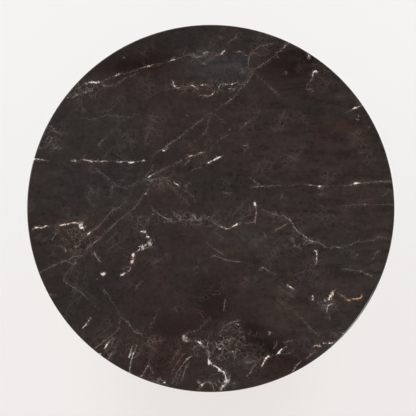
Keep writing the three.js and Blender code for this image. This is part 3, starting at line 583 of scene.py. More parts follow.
# Soft areas: x, y, half width, half depth, amount. Dark is near black, red is iron-stained, cool is the
# greyer stone, and crazed is where fine calcite threads run close together.
softAreas = {
    "dark": [
        (-205, 350, 75, 24, 0.7), (-130, 372, 60, 28, 0.5), (205, 360, 66, 36, 0.75),
        (150, 330, 60, 30, 0.25), (0, -215, 42, 52, 0.6), (25, -240, 60, 34, 0.15),
        (100, -300, 38, 34, 0.75), (135, -340, 42, 26, 1), (-60, -280, 80, 32, 0.2),
        (185, -372, 60, 26, 0.5), (-200, 262, 60, 20, 0.1), (-290, -190, 80, 50, 0.25),
        (-110, -300, 60, 30, 0.35), (-110, -372, 60, 34, 0.4), (285, 360, 70, 60, 0.25),
        (230, -120, 90, 50, 0.15), (-300, -360, 60, 40, 0.3), (-270, 200, 150, 80, 0.1),
        (-330, -190, 90, 60, 0.12), (-30, 398, 50, 26, 0.2), (330, -130, 60, 30, 0.12),
        (-380, 190, 60, 60, 0.12),
    ],
    "red": [
        (-150, 360, 90, 34, 0.5), (200, 352, 90, 46, 0.5), (-110, -372, 75, 44, 0.8),
        (-60, -290, 80, 40, 0.6), (30, -240, 60, 40, 0.5), (180, -380, 70, 34, 0.8),
        (-75, 290, 90, 36, 0.35), (320, 190, 90, 22, 0.6), (115, -330, 60, 50, 0.5),
        (-170, -200, 70, 60, 0.25), (280, 130, 120, 90, 0.25), (-200, 355, 60, 24, 0.5),
    ],
    "cool": [
        (45, 345, 66, 34, 1.2), (-60, 345, 70, 28, 0.5), (-30, 395, 60, 30, 0.3),
        (-260, 215, 120, 60, 0.35), (-380, 190, 50, 60, 0.4), (-380, 60, 80, 80, 0.2),
        (-290, -190, 90, 50, 0.3), (-230, 50, 80, 60, 0.25), (50, -60, 70, 30, 0.3),
        (330, -130, 60, 26, 0.3), (110, -80, 60, 30, 0.3), (-300, 100, 120, 80, 0.15),
    ],
    "crazed": [
        (-300, 292, 32, 18, 0.9), (-335, 272, 24, 14, 0.7), (45, -335, 44, 34, 1.1),
        (-10, -340, 30, 24, 0.6), (-90, -22, 60, 14, 0.8), (-20, -28, 40, 14, 0.8), (-120, 68, 46, 20, 0.7),
        (215, -84, 34, 20, 0.8), (150, -20, 34, 16, 0.4), (-188, -348, 22, 24, 0.7),
        (-60, 296, 46, 14, 0.5), (30, 300, 46, 14, 0.6), (-135, -420, 40, 14, 0.8), (20, -425, 34, 22, 0.7),
        (-320, -70, 44, 40, 0.6), (-155, -85, 26, 20, 0.5), (-395, 180, 30, 30, 0.8),
        (-30, 376, 40, 14, 0.7), (-245, -340, 30, 26, 0.6), (280, -225, 26, 18, 0.4),
        (-140, -325, 34, 14, 0.5), (120, -365, 40, 18, 0.3),
    ],
}

veinSettings = {
    "layers": 8,  # overlapping veins need layers of their own
    "fadeStart": 6,  # distance from a vein, mm, where its layer starts to forget it
    "fadeEnd": 10,
    "endTaper": 5,  # length over which a vein's end runs out, mm
    "thinHalfWidth": 0.42,
    "extraHalfWidth": 1.35,
    "wander": 9.0,  # how far the ragged noise pushes a vein aside, mm per unit of noise
    "farOff": 12,  # the signed distance away from all veins, mm
}


def veinCurve(points, step=2.0):
    # The Catmull-Rom curve through the points:
    # p(t) = (2b + (c - a) t + (2a - 5b + 4c - d) t^2 + (3b - a - 3c + d) t^3) / 2 between b and c.
    hand = np.array(points, float)
    hand = np.vstack([2 * hand[0] - hand[1], hand, 2 * hand[-1] - hand[-2]])
    stretches = []
    for a, b, c, d in zip(hand[:-3], hand[1:-2], hand[2:-1], hand[3:]):
        count = max(2, int(np.hypot(*(c - b)[:2]) / step))
        t = np.linspace(0, 1, count, endpoint=False)[:, None]
        cubic = (2 * a - 5 * b + 4 * c - d) * t**2 + (3 * b - a - 3 * c + d) * t**3
        stretches.append(0.5 * (2 * b + (c - a) * t + cubic))
    return np.vstack([*stretches, hand[-2:-1]])


def distances(a, b):
    # How far each point of a is from each point of b.
    return np.sqrt(((a[:, None, :2] - b[None, :, :2]) ** 2).sum(axis=2))


def veinLayers(places, settings):
    # For each layer and place: the signed distance to the nearest vein in millimetres, the vein's strength
    # there, and how rusty it is. The distance is signed by side, (p - c) . normal at the nearest point c, so
    # that it runs straight through zero between mesh points and a vein stays sharp.
    count = settings["layers"]
    field = np.zeros((count, len(places), 3), np.float32)
    field[:, :, 0] = settings["farOff"]
    nearest = np.full((count, len(places)), 1e9)
    taken = [np.zeros((0, 3)) for _ in range(count)]
    for rusty, veins in ((0, paleVeins), (1, rustVeins)):
        for vein in veins:
            curve = veinCurve(vein)
            gaps = [distances(curve, other).min() if len(other) else 1e9 for other in taken]
            free = [i for i, gap in enumerate(gaps) if gap > 2 * settings["fadeEnd"]]
            layer = free[0] if free else int(np.argmax(gaps))
            taken[layer] = np.vstack([taken[layer], curve])
            low = curve[:, :2].min(axis=0) - settings["fadeEnd"]
            high = curve[:, :2].max(axis=0) + settings["fadeEnd"]
            near = np.nonzero(((places > low) & (places < high)).all(axis=1))[0]
            if len(near) == 0:
                continue
            apart = distances(places[near], curve)
            k = apart.argmin(axis=1)
            away = places[near] - curve[k, :2]
            tangent = np.gradient(curve[:, :2], axis=0)
            tangent /= np.linalg.norm(tangent, axis=1)[:, None] + 1e-9
            side = away[:, 1] * tangent[k, 0] - away[:, 0] * tangent[k, 1]
            along = np.abs((away * tangent[k]).sum(axis=1))
            bright = np.clip(curve[k, 2], 0, 1)
            atEnd = (k == 0) | (k == len(curve) - 1)
            taper = np.where(atEnd, 1 - smoothStep(0, settings["endTaper"], along), 1)
            distance = apart[np.arange(len(near)), k]
            fade = 1 - smoothStep(settings["fadeStart"], settings["fadeEnd"], distance)
            better = distance < nearest[layer, near]
            chosen = near[better]
            nearest[layer, chosen] = distance[better]
            field[layer, chosen, 0] = np.clip(side, -settings["farOff"], settings["farOff"])[better]
            field[layer, chosen, 1] = (bright * taper * fade)[better]
            field[layer, chosen, 2] = rusty
    return field


def fleckField(places):
    # 1 - distance / radius of the fleck that reaches furthest, and that fleck's brightness.
    field = np.zeros((len(places), 3), np.float32)
    field[:, 0] = -1
    for x, y, radius, bright in flecks:
        reach = np.maximum(1 - np.hypot(places[:, 0] - x, places[:, 1] - y) / radius, -1)
        better = reach > field[:, 0]
        field[better, 0] = reach[better]
        field[better, 1] = bright
    return field


def softField(places, areas):
    # The sum of amount exp(-(dx / half width)^2 - (dy / half depth)^2) over the areas.
    total = np.zeros(len(places), np.float32)
    for x, y, halfWidth, halfDepth, amount in areas:
        total += amount * np.exp(
            -(((places[:, 0] - x) / halfWidth) ** 2) - ((places[:, 1] - y) / halfDepth) ** 2
        )
    return total


slabSettings = {
    "grid": 264,  # points across the top, about 3 mm apart
    "upperRound": 4,
    "lowerRound": 3,
    "edgeSteps": 9,
    "lowerSteps": 4,
    "undersideRings": (0.94, 0.85, 0.7, 0.5, 0.25),
}


def discGrid(count):
    # A square grid bent to a disc: with the larger of |u| and |v| as the radius rho, the angle is
    # pi / 4 v / u on the left and right quarters, and pi / 2 - pi / 4 u / v on the other two.
    u, v = np.meshgrid(np.linspace(-1, 1, count), np.linspace(-1, 1, count))
    wide = np.abs(u) > np.abs(v)
    rho = np.where(wide, u, v)
    safeU = np.where(u == 0, 1, u)
    safeV = np.where(v == 0, 1, v)
    angle = np.where(wide, pi / 4 * v / safeU, pi / 2 - pi / 4 * u / safeV)
    return np.stack([rho * np.cos(angle), rho * np.sin(angle)], axis=-1)


def gridBorder(count):
    # The numbers of the grid's border points, once round.
    row = np.arange(count)
    lower, upper = row, (count - 1) * count + row[::-1]
    right, left = row * count + count - 1, row[::-1] * count
    return np.concatenate([lower[:-1], right[:-1], upper[:-1], left[:-1]])


def makeSlab(settings, stone, backing):
    # The top is a disc grid. Below its border the edge is a round-over, an upright band and a small round,
    # radius R - r + r sin(a) and height H - r + r cos(a), and the underside is rings to a middle point.
    bottom, top, outer = levelsOf("marble_top")
    count = settings["grid"]
    grid = discGrid(count).reshape(-1, 2)
    border = gridBorder(count)
    upper, lower = settings["upperRound"], settings["lowerRound"]
    a = np.linspace(0, pi / 2, settings["edgeSteps"] + 1)
    b = np.linspace(pi / 2, pi, settings["lowerSteps"] + 1)
    edge = np.vstack(
        [
            np.stack([outer - upper + upper * np.sin(a), top - upper + upper * np.cos(a)], axis=1)[1:],
            np.stack([outer - lower + lower * np.sin(b), bottom + lower + lower * np.cos(b)], axis=1),
            [[outer * share, bottom] for share in settings["undersideRings"]],
        ]
    )
    flat = np.hstack([grid * (outer - upper), np.full((count * count, 1), top)])
    direction = grid[border]
    rings = [np.hstack([direction * r, np.full((len(border), 1), z)]) for r, z in edge]
    points = np.vstack([flat, *rings, [[0, 0, bottom]]])
    i, j = np.meshgrid(np.arange(count - 1), np.arange(count - 1))
    corner = (j * count + i).ravel()
    faces = np.stack([corner, corner + 1, corner + count + 1, corner + count], axis=1).tolist()
    around = np.arange(len(border))
    ahead = (around + 1) % len(border)
    rows = [border] + [count * count + n * len(border) + around for n in range(len(edge))]
    for one, two in zip(rows[:-1], rows[1:]):
        faces += np.stack([two, two[ahead], one[ahead], one], axis=1).tolist()
    undersideStart = len(faces) - len(settings["undersideRings"]) * len(border)
    middle = np.full(len(border), len(points) - 1)
    faces += np.stack([middle, rows[-1][ahead], rows[-1]], axis=1).tolist()
    slab = buildPiece("marble_slab", points, faces, stone)
    slab.data.materials.append(backing)
    numbers = np.zeros(len(faces), np.int32)
    numbers[undersideStart:] = 1
    slab.data.polygons.foreach_set("material_index", numbers)
    places = points[:, :2]
    layers = veinLayers(places, veinSettings)
    underside = (points[:, 2] <= bottom + 0.01)[None, :]
    layers[:, :, 1] = np.where(underside, 0, layers[:, :, 1])
    fields = {f"vein{i}": layer for i, layer in enumerate(layers)}
    fields["fleck"] = fleckField(places)
    fields["tone"] = np.stack([softField(places, softAreas[key]) for key in ("dark", "red", "cool")], axis=1)
    fields["crazed"] = np.repeat(softField(places, softAreas["crazed"])[:, None], 3, axis=1)
    for key, values in fields.items():
        attribute = slab.data.attributes.new(key, "FLOAT_VECTOR", "POINT")
        attribute.data.foreach_set("vector", np.ascontiguousarray(values, np.float32).ravel())
    return slab


def veinFromLayer(tree, i, wander, beadGain, specks):
    # One layer of veins: full inside the half width, thin + extra strength^2, where the pushed distance is
    # near zero, plus specks that thin out over 8 mm. Gives the vein's cover and its share of rust.
    data = addNode(tree, "Attribute", f"vein{i}")
    parts = addNode(tree, "SeparateXYZ", None, {"Vector": data.outputs["Vector"]})
    strength = parts.outputs["Y"]
    shifted = addNode(tree, "Math", "ADD", {0: parts.outputs["X"], 1: wander})
    away = addNode(tree, "Math", "ABSOLUTE", {0: shifted})
    squared = addNode(tree, "Math", "MULTIPLY", {0: strength, 1: strength})
    halfWidth = addNode(
        tree, "Math", "MULTIPLY_ADD",
        {0: squared, 1: veinSettings["extraHalfWidth"], 2: veinSettings["thinHalfWidth"]},
    )
    share = addNode(tree, "Math", "DIVIDE", {0: away, 1: halfWidth})
    core = addNode(
        tree, "MapRange", "SMOOTHSTEP",
        {"Value": share, "From Min": 0.5, "From Max": 1.4, "To Min": 1, "To Max": 0},
    )
    power = addNode(tree, "Math", "POWER", {0: strength, 1: 1.75})
    gain = addNode(tree, "Mix", None, {"Factor": strength, "A": 0.6, "B": beadGain})
    beaded = addNode(tree, "Math", {"operation": "MULTIPLY", "use_clamp": True}, {0: power, 1: gain})
    line = addNode(tree, "Math", "MULTIPLY", {0: core, 1: beaded})
    crowd = addNode(
        tree, "MapRange", None, {"Value": away, "From Min": 1, "From Max": 8, "To Min": 1, "To Max": 0}
    )
    near = addNode(tree, "Math", "MULTIPLY", {0: crowd, 1: strength})
    dusting = addNode(tree, "Math", "MULTIPLY", {0: near, 1: specks})
    vein = strongest(tree, [line, dusting])
    rusty = addNode(tree, "Math", "MULTIPLY", {0: vein, 1: parts.outputs["Z"]})
    return vein, rusty


def polishedMarble():
    # Near-black brown marble, sawn and polished to a gloss: fine brown and grey grain in long streaks, a web
    # of hair-thin calcite, and broken white to rust veins. Calcite has an IOR near 1.5.
    material, tree, surface, place = startMaterial("polishedMarble")
    streaks = addNode(tree, "Mapping", None, {"Vector": place, "Scale": (0.22, 1, 1)})
    drift = addNode(tree, "TexNoise", None, {"Vector": place, "Scale": perMetre(150), "Detail": 5})
    grain = addNode(
        tree, "TexNoise", None,
        {"Vector": place, "Scale": perMetre(11), "Detail": 6, "Roughness": 0.7, "Distortion": 0.5},
    )
    speckle = addNode(
        tree, "TexNoise", None,
        {"Vector": place, "Scale": perMetre(4), "Detail": 4, "Roughness": 0.75, "Distortion": 1.6},
    )
    mottle = addNode(
        tree, "TexNoise", None,
        {"Vector": place, "Scale": perMetre(24), "Detail": 6, "Roughness": 0.65, "Distortion": 1.2},
    )
    ripple = addNode(
        tree, "TexNoise", None, {"Vector": streaks, "Scale": perMetre(15), "Detail": 3, "Distortion": 0.4}
    )
    # the ripple grows from left to right
    along = addNode(tree, "SeparateXYZ", None, {"Vector": place})
    rippleShare = addNode(
        tree, "MapRange", "SMOOTHSTEP",
        {"Value": along.outputs["X"], "From Min": -0.15, "From Max": 0.3, "To Min": 0.2, "To Max": 1.2},
    )
    rippled = addNode(tree, "Math", "SUBTRACT", {0: ripple, 1: 0.5})
    tone = addNode(tree, "Attribute", "tone")
    blotches = addNode(
        tree, "MapRange", None,
        {"Value": mottle, "From Min": 0.35, "From Max": 0.65, "To Min": 0.5, "To Max": 1.5},
    )
    blotched = addNode(tree, "VectorMath", "SCALE", {0: tone.outputs["Vector"], "Scale": blotches})
    toneParts = addNode(tree, "SeparateXYZ", None, {"Vector": blotched})
    groundSum = addNode(tree, "Math", "MULTIPLY_ADD", {0: mottle, 1: 0.8, 2: drift})
    groundShare = addNode(tree, "MapRange", None, {"Value": groundSum, "From Min": 0.65, "From Max": 1.15})
    ground = addNode(tree, "Mix", "RGBA", {0: groundShare, 6: colour("#231f1d"), 7: colour("#2f2521")})
    cooled = addNode(tree, "Mix", "RGBA", {0: toneParts.outputs["Z"], 6: ground, 7: colour("#312e2e")})
    reddened = addNode(tree, "Mix", "RGBA", {0: toneParts.outputs["Y"], 6: cooled, 7: colour("#2e1d1a")})
    darkened = addNode(tree, "Mix", "RGBA", {0: toneParts.outputs["X"], 6: reddened, 7: colour("#160f0c")})
    grainSum = addNode(tree, "Math", "MULTIPLY_ADD", {0: speckle, 1: 0.4, 2: grain})
    grainTotal = addNode(tree, "Math", "MULTIPLY_ADD", {0: rippled, 1: rippleShare, 2: grainSum})
    grainTotal = addNode(tree, "Math", "MULTIPLY_ADD", {0: mottle, 1: 0.5, 2: grainTotal})
    grainGain = addNode(
        tree, "MapRange", None,
        {"Value": grainTotal, "From Min": 0.7, "From Max": 1.22, "To Min": 0.73, "To Max": 1.4},
    )
    stone = addNode(tree, "VectorMath", "SCALE", {0: darkened, "Scale": grainGain})
    # a web of hair-thin lines: near the edges of large, bent Voronoi cells, where a slow noise lets them show
    bend = addNode(tree, "TexNoise", None, {"Vector": place, "Scale": perMetre(40), "Detail": 4})
    bent = addNode(
        tree, "VectorMath", "MULTIPLY_ADD", {0: bend.outputs["Color"], 1: (0.055, 0.04, 0), 2: place}
    )
    webMask = addNode(tree, "TexNoise", None, {"Vector": place, "Scale": perMetre(60), "Detail": 3})
    shown = addNode(tree, "MapRange", "SMOOTHSTEP", {"Value": webMask, "From Min": 0.5, "From Max": 0.66})
    web = []
    for cell, halfWidth, strength in ((70, 0.009, 0.12), (26, 0.022, 0.08), (11, 0.05, 0.07)):
        edge = addNode(tree, "TexVoronoi", "DISTANCE_TO_EDGE", {"Vector": bent, "Scale": perMetre(cell)})
        line = addNode(
            tree, "MapRange", None,
            {"Value": edge.outputs["Distance"], "From Min": 0, "From Max": halfWidth, "To Min": strength,
             "To Max": 0},
        )
        masked = addNode(tree, "Math", "MULTIPLY", {0: line, 1: shown})
        web.append(masked)
    # long straight hairlines: the thin band where a strongly stretched noise passes its middle value
    for degrees, strength in ((40, 0.08), (-34, 0.07), (66, 0.05)):
        turned = addNode(tree, "Mapping", None, {"Vector": place, "Rotation": (0, 0, -radians(degrees))})
        drawn = addNode(tree, "VectorMath", "MULTIPLY", {0: turned, 1: (0.07, 1, 1)})
        sheet = addNode(tree, "TexNoise", None, {"Vector": drawn, "Scale": perMetre(36), "Detail": 1})
        offMiddle = addNode(tree, "Math", "SUBTRACT", {0: sheet, 1: 0.5})
        apart = addNode(tree, "Math", "ABSOLUTE", {0: offMiddle})
        hair = addNode(
            tree, "MapRange", None,
            {"Value": apart, "From Min": 0.002, "From Max": 0.009, "To Min": strength, "To Max": 0},
        )
        broken = addNode(tree, "Math", "MULTIPLY", {0: hair, 1: shown})
        web.append(broken)
    # crazed areas: a close mesh of threads, broken up
    crazed = addNode(tree, "Attribute", "crazed")
    fineBend = addNode(tree, "TexNoise", None, {"Vector": place, "Scale": perMetre(14), "Detail": 4})
    fineBent = addNode(
        tree, "VectorMath", "MULTIPLY_ADD", {0: fineBend.outputs["Color"], 1: (0.016, 0.016, 0), 2: place}
    )
    threads = addNode(tree, "TexVoronoi", "DISTANCE_TO_EDGE", {"Vector": fineBent, "Scale": perMetre(13)})
    threadLine = addNode(
        tree, "MapRange", "SMOOTHSTEP",
        {"Value": threads.outputs["Distance"], "From Min": 0.02, "From Max": 0.13, "To Min": 1, "To Max": 0},
    )
    threadBreak = addNode(
        tree, "MapRange", "SMOOTHSTEP", {"Value": speckle, "From Min": 0.42, "From Max": 0.66}
    )
    threadPart = addNode(tree, "Math", "MULTIPLY", {0: threadLine, 1: threadBreak})
    clumps = addNode(tree, "TexNoise", None, {"Vector": place, "Scale": perMetre(15), "Detail": 3})
    clumpGain = addNode(
        tree, "MapRange", None,
        {"Value": clumps, "From Min": 0.4, "From Max": 0.65, "To Min": 0.05, "To Max": 0.85},
    )
    crazedShare = addNode(tree, "Math", "MULTIPLY", {0: crazed.outputs["Fac"], 1: clumpGain})
    threadMask = addNode(
        tree, "Math", "MULTIPLY_ADD", {0: threadPart, 1: crazedShare, 2: strongest(tree, web)}
    )
    # the placed veins: one noise pushes them about, another breaks them into beads, and specks crowd round
    ragged = addNode(
        tree, "TexNoise", None, {"Vector": place, "Scale": perMetre(7.5), "Detail": 5, "Roughness": 0.8}
    )
    wander = addNode(
        tree, "MapRange", {"clamp": False},
        {"Value": ragged, "To Min": -0.5 * veinSettings["wander"], "To Max": 0.5 * veinSettings["wander"]},
    )
    beads = addNode(tree, "TexNoise", None, {"Vector": place, "Scale": perMetre(6.5), "Detail": 2})
    beadGain = addNode(
        tree, "MapRange", None,
        {"Value": beads, "From Min": 0.4, "From Max": 0.6, "To Min": 0.08, "To Max": 1.6},
    )
    dust = addNode(tree, "TexNoise", None, {"Vector": place, "Scale": perMetre(2.6), "Detail": 2})
    specks = addNode(
        tree, "MapRange", "SMOOTHSTEP", {"Value": dust, "From Min": 0.57, "From Max": 0.7, "To Max": 0.8}
    )
    layers = [veinFromLayer(tree, i, wander, beadGain, specks) for i in range(veinSettings["layers"])]
    fleck = addNode(tree, "Attribute", "fleck")
    fleckParts = addNode(tree, "SeparateXYZ", None, {"Vector": fleck.outputs["Vector"]})
    frayed = addNode(
        tree, "TexNoise", None, {"Vector": place, "Scale": perMetre(4.5), "Detail": 4, "Roughness": 0.75}
    )
    fleckEdge = addNode(tree, "Math", "MULTIPLY_ADD", {0: frayed, 1: 3.6, 2: fleckParts.outputs["X"]})
    fleckShape = addNode(
        tree, "MapRange", "SMOOTHSTEP", {"Value": fleckEdge, "From Min": 2.15, "From Max": 2.7}
    )
    fleckPower = addNode(tree, "Math", "POWER", {0: fleckParts.outputs["Y"], 1: 1.7})
    fleckMask = addNode(tree, "Math", "MULTIPLY", {0: fleckShape, 1: fleckPower})
    covers = strongest(tree, [threadMask, *(vein for vein, rusty in layers)])
    calcite = addNode(tree, "Math", {"operation": "MAXIMUM", "use_clamp": True}, {0: covers, 1: fleckMask})
    stain = addNode(tree, "TexNoise", None, {"Vector": place, "Scale": perMetre(28), "Detail": 3})
    calciteTone = addNode(tree, "MapRange", None, {"Value": stain, "From Min": 0.42, "From Max": 0.66})
    thinMix = addNode(tree, "Mix", "RGBA", {0: calciteTone, 6: colour("#a59d98"), 7: colour("#ab8b7b")})
    thickMix = addNode(tree, "Mix", "RGBA", {0: calciteTone, 6: colour("#e3d9d0"), 7: colour("#dfc4ad")})
    thickness = addNode(tree, "MapRange", "SMOOTHSTEP", {"Value": calcite, "From Min": 0.3, "From Max": 0.85})
    paleMix = addNode(tree, "Mix", "RGBA", {0: thickness, 6: thinMix, 7: thickMix})
    rust = strongest(tree, [rusty for vein, rusty in layers])
    rustShare = addNode(tree, "Math", {"operation": "MULTIPLY", "use_clamp": True}, {0: rust, 1: 1.6})
    calciteColour = addNode(tree, "Mix", "RGBA", {0: rustShare, 6: paleMix, 7: colour("#b08560")})
    final = addNode(tree, "Mix", "RGBA", {0: calcite, 6: stone, 7: calciteColour})
    # the polish is a little duller on calcite than on the dark ground
    gloss = addNode(tree, "MapRange", None, {"Value": calcite, "To Min": 0.13, "To Max": 0.24})
    smudges = addNode(tree, "Math", "MULTIPLY_ADD", {0: drift, 1: 0.05, 2: gloss})
    relief = addNode(tree, "Bump", None, {"Height": calcite, "Strength": 0.12, "Distance": 0.0001})
    feed(tree, surface, {"Base Color": final, "Roughness": smudges, "Normal": relief, "IOR": 1.5})
    return material


def resinBacking():
    # Glass-fibre net set in polyester resin on the slab's sawn underside: grey-brown, dull, a 5 mm net.
    material, tree, surface, place = startMaterial("resinBacking")
    mottle = addNode(tree, "TexNoise", None, {"Vector": place, "Scale": perMetre(40), "Detail": 6})
    ground = addNode(tree, "Mix", "RGBA", {0: mottle, 6: colour("#3b3633"), 7: colour("#5d5650")})
    nets = []
    for direction in ("X", "Y"):
        strands = addNode(
            tree, "TexWave", {"wave_type": "BANDS", "bands_direction": direction},
            {"Vector": place, "Scale": perMetre(5) * 2 * pi / 20, "Distortion": 0.3, "Detail": 1},
        )
        strand = addNode(
            tree, "MapRange", "SMOOTHSTEP",
            {"Value": strands.outputs["Fac"], "From Min": 0.72, "From Max": 0.95},
        )
        nets.append(strand)
    net = strongest(tree, nets)
    netColour = addNode(tree, "Mix", "RGBA", {0: net, 6: ground, 7: colour("#77706a")})
    bump = addNode(tree, "Bump", None, {"Height": net, "Strength": 0.5, "Distance": 0.0003})
    rough = addNode(tree, "MapRange", None, {"Value": mottle, "To Min": 0.4, "To Max": 0.7})
    feed(tree, surface, {"Base Color": netColour, "Roughness": rough, "Normal": bump})
    return material


slab = makeSlab(slabSettings, polishedMarble(), resinBacking())
standIn(slab, "marble_top")
print("stone slab made:", len(slab.data.polygons), "faces")


def birchPlywood():
    # Birch plywood, sanded and sealed: pale yellow-brown with long low grain on its faces, and 1.4 mm plies,
    # by turns light and dark, round its edge.
    material, tree, surface, place = startMaterial("birchPlywood")
    stretched = addNode(tree, "Mapping", None, {"Vector": place, "Scale": (0.05, 1, 1)})
    grain = addNode(
        tree, "TexNoise", None, {"Vector": stretched, "Scale": perMetre(5), "Detail": 6, "Distortion": 0.6}
    )
    figure = addNode(
        tree, "TexNoise", None, {"Vector": stretched, "Scale": perMetre(60), "Detail": 3, "Distortion": 1.2}
    )
    faceTone = addNode(tree, "Math", "MULTIPLY_ADD", {0: figure, 1: 0.7, 2: grain})
    faceRamp = addNode(tree, "MapRange", None, {"Value": faceTone, "From Min": 0.55, "From Max": 1.15})
    faceColour = addNode(tree, "Mix", "RGBA", {0: faceRamp, 6: colour("#b8945f"), 7: colour("#d9bd8c")})
    height = addNode(tree, "SeparateXYZ", None, {"Vector": place})
    plyNumber = addNode(tree, "Math", "MULTIPLY", {0: height.outputs["Z"], 1: perMetre(1.4)})
    plyPhase = addNode(tree, "Math", "PINGPONG", {0: plyNumber, 1: 1.0})
    plyStep = addNode(tree, "MapRange", "SMOOTHSTEP", {"Value": plyPhase, "From Min": 0.4, "From Max": 0.6})
    edgeColour = addNode(tree, "Mix", "RGBA", {0: plyStep, 6: colour("#8a5f38"), 7: colour("#cfae7c")})
    normal = addNode(tree, "NewGeometry")
    up = addNode(tree, "SeparateXYZ", None, {"Vector": normal.outputs["True Normal"]})
    level = addNode(tree, "Math", "ABSOLUTE", {0: up.outputs["Z"]})
    isFace = addNode(tree, "MapRange", None, {"Value": level, "From Min": 0.9, "From Max": 0.97})
    final = addNode(tree, "Mix", "RGBA", {0: isFace, 6: edgeColour, 7: faceColour})
    rough = addNode(tree, "MapRange", None, {"Value": grain, "To Min": 0.42, "To Max": 0.68})
    bump = addNode(tree, "Bump", None, {"Height": grain, "Strength": 0.25, "Distance": 0.0002})
    feed(tree, surface, {"Base Color": final, "Roughness": rough, "Normal": bump})
    return material


def brassPlate(name, facts, ringed):
    # Steel plated in brass and brushed to a satin, under clear lacquer. On a tube the brush lines run along
    # it. On a spun or turned piece they are rings about the column's axis, from noise that reads only the
    # distance from the axis and the height. Real lines are 0.1 mm; these are near 1 mm so that they show.
    material, tree, surface, place = startMaterial(name)
    if ringed:
        level = addNode(tree, "VectorMath", "MULTIPLY", {0: place, 1: (1, 1, 0)})
        radius = addNode(tree, "VectorMath", "LENGTH", {0: level})
        parts = addNode(tree, "SeparateXYZ", None, {"Vector": place})
        section = addNode(tree, "CombineXYZ", None, {"X": radius.outputs["Value"], "Y": parts.outputs["Z"]})
        brushed = addNode(tree, "VectorMath", "MULTIPLY_ADD", {0: place, 1: (0.004, 0.004, 0), 2: section})
    else:
        brushed = addNode(tree, "Mapping", None, {"Vector": place, "Scale": (1, 1, 0.01)})
    lines = addNode(
        tree, "TexNoise", None,
        {"Vector": brushed, "Scale": perMetre(facts["line"]), "Detail": 4, "Roughness": 0.6},
    )
    clouds = addNode(
        tree, "TexNoise", None, {"Vector": place, "Scale": perMetre(facts["clouds"]), "Detail": 4}
    )
    tarnish = addNode(tree, "Mix", "RGBA", {0: clouds, 6: colour("#c19a5b"), 7: colour("#d2b27a")})
    low, high = facts["gain"]
    lineGain = addNode(tree, "MapRange", None, {"Value": lines, "To Min": low, "To Max": high})
    metal = addNode(tree, "VectorMath", "SCALE", {0: tarnish, "Scale": lineGain})
    spread, least = facts["roughness"]
    lineRough = addNode(tree, "Math", "MULTIPLY_ADD", {0: lines, 1: spread, 2: least})
    rough = addNode(tree, "Math", "MULTIPLY_ADD", {0: clouds, 1: 0.08, 2: lineRough})
    bump = addNode(tree, "Bump", None, {"Height": lines, "Strength": facts["bump"], "Distance": 0.0001})
    feed(tree, surface, {"Base Color": metal, "Roughness": rough, "Normal": bump, "Metallic": 1.0})
    return material


def grainedFinish(name, facts):
    # A finish with one grain and one slow variation: two colours, a grain size in mm, its depth in mm, a
    # range of roughness, and how metallic it is.
    material, tree, surface, place = startMaterial(name)
    grain = addNode(
        tree, "TexNoise", None,
        {"Vector": place, "Scale": perMetre(facts["grain"]), "Detail": 5, "Roughness": 0.6},
    )
    clouds = addNode(
        tree, "TexNoise", None, {"Vector": place, "Scale": perMetre(facts["clouds"]), "Detail": 4}
    )
    shade = addNode(tree, "Math", "MULTIPLY_ADD", {0: grain, 1: 0.6, 2: clouds})
    share = addNode(tree, "MapRange", None, {"Value": shade, "From Min": 0.55, "From Max": 1.05})
    tint = addNode(
        tree, "Mix", "RGBA", {0: share, 6: colour(facts["colours"][0]), 7: colour(facts["colours"][1])}
    )
    low, high = facts["roughness"]
    rough = addNode(tree, "MapRange", None, {"Value": share, "To Min": low, "To Max": high})
    bump = addNode(
        tree, "Bump", None, {"Height": grain, "Strength": facts["bump"], "Distance": facts["depth"] * mm}
    )
    metallic = facts.get("metallic", 0.0)
    feed(tree, surface, {"Base Color": tint, "Roughness": rough, "Normal": bump, "Metallic": metallic})
    return material


plywood = birchPlywood()
brushedBrass = brassPlate(
    "brushedBrass",
    {"line": 0.8, "clouds": 70, "gain": (0.82, 1.12), "roughness": (0.22, 0.16), "bump": 0.12},
    ringed=False,
)
turnedBrass = brassPlate(
    "spunBrass",
    {"line": 1.0, "clouds": 90, "gain": (0.84, 1.1), "roughness": (0.2, 0.17), "bump": 0.14},
    ringed=True,
)
# Epoxy powder baked on steel: a fine orange peel, about 0.8 mm across.
powderCoat = grainedFinish(
    "blackPowderCoat",
    {"colours": ("#17171a", "#232325"), "grain": 0.8, "clouds": 60, "depth": 0.08, "bump": 0.5,
     "roughness": (0.42, 0.58)},
)
# Grey iron as it left the sand mould, under thin black primer: a pebbled skin of 1.6 mm sand marks.
castIron = grainedFinish(
    "primedCastIron",
    {"colours": ("#1b1b1d", "#34322f"), "grain": 1.6, "clouds": 35, "depth": 0.5, "bump": 0.8,
     "roughness": (0.55, 0.8)},
)
# Steel plated in bright zinc: bluish white metal with a faint spangle.
zincPlate = grainedFinish(
    "brightZincPlate",
    {"colours": ("#a9b0b8", "#c9cccb"), "grain": 1.2, "clouds": 8, "depth": 0.03, "bump": 0.25,
     "roughness": (0.22, 0.42), "metallic": 1.0},
)
# Injection-moulded nylon: black with a fine spark-eroded texture.
nylon = grainedFinish(
    "mouldedNylon",
    {"colours": ("#161618", "#222224"), "grain": 0.5, "clouds": 20, "depth": 0.05, "bump": 0.4,
     "roughness": (0.45, 0.6)},
)
# Vulcanised rubber: dull black that greys where it is handled.
rubber = grainedFinish(
    "mattRubber",
    {"colours": ("#121213", "#1f1f20"), "grain": 0.7, "clouds": 25, "depth": 0.08, "bump": 0.5,
     "roughness": (0.72, 0.9)},
)
# Cured silicone adhesive: milky white and slightly glossy.
silicone = grainedFinish(
    "curedSilicone",
    {"colours": ("#c9c9c2", "#deded8"), "grain": 2.5, "clouds": 12, "depth": 0.2, "bump": 0.3,
     "roughness": (0.35, 0.5)},
)
print("finishes made")

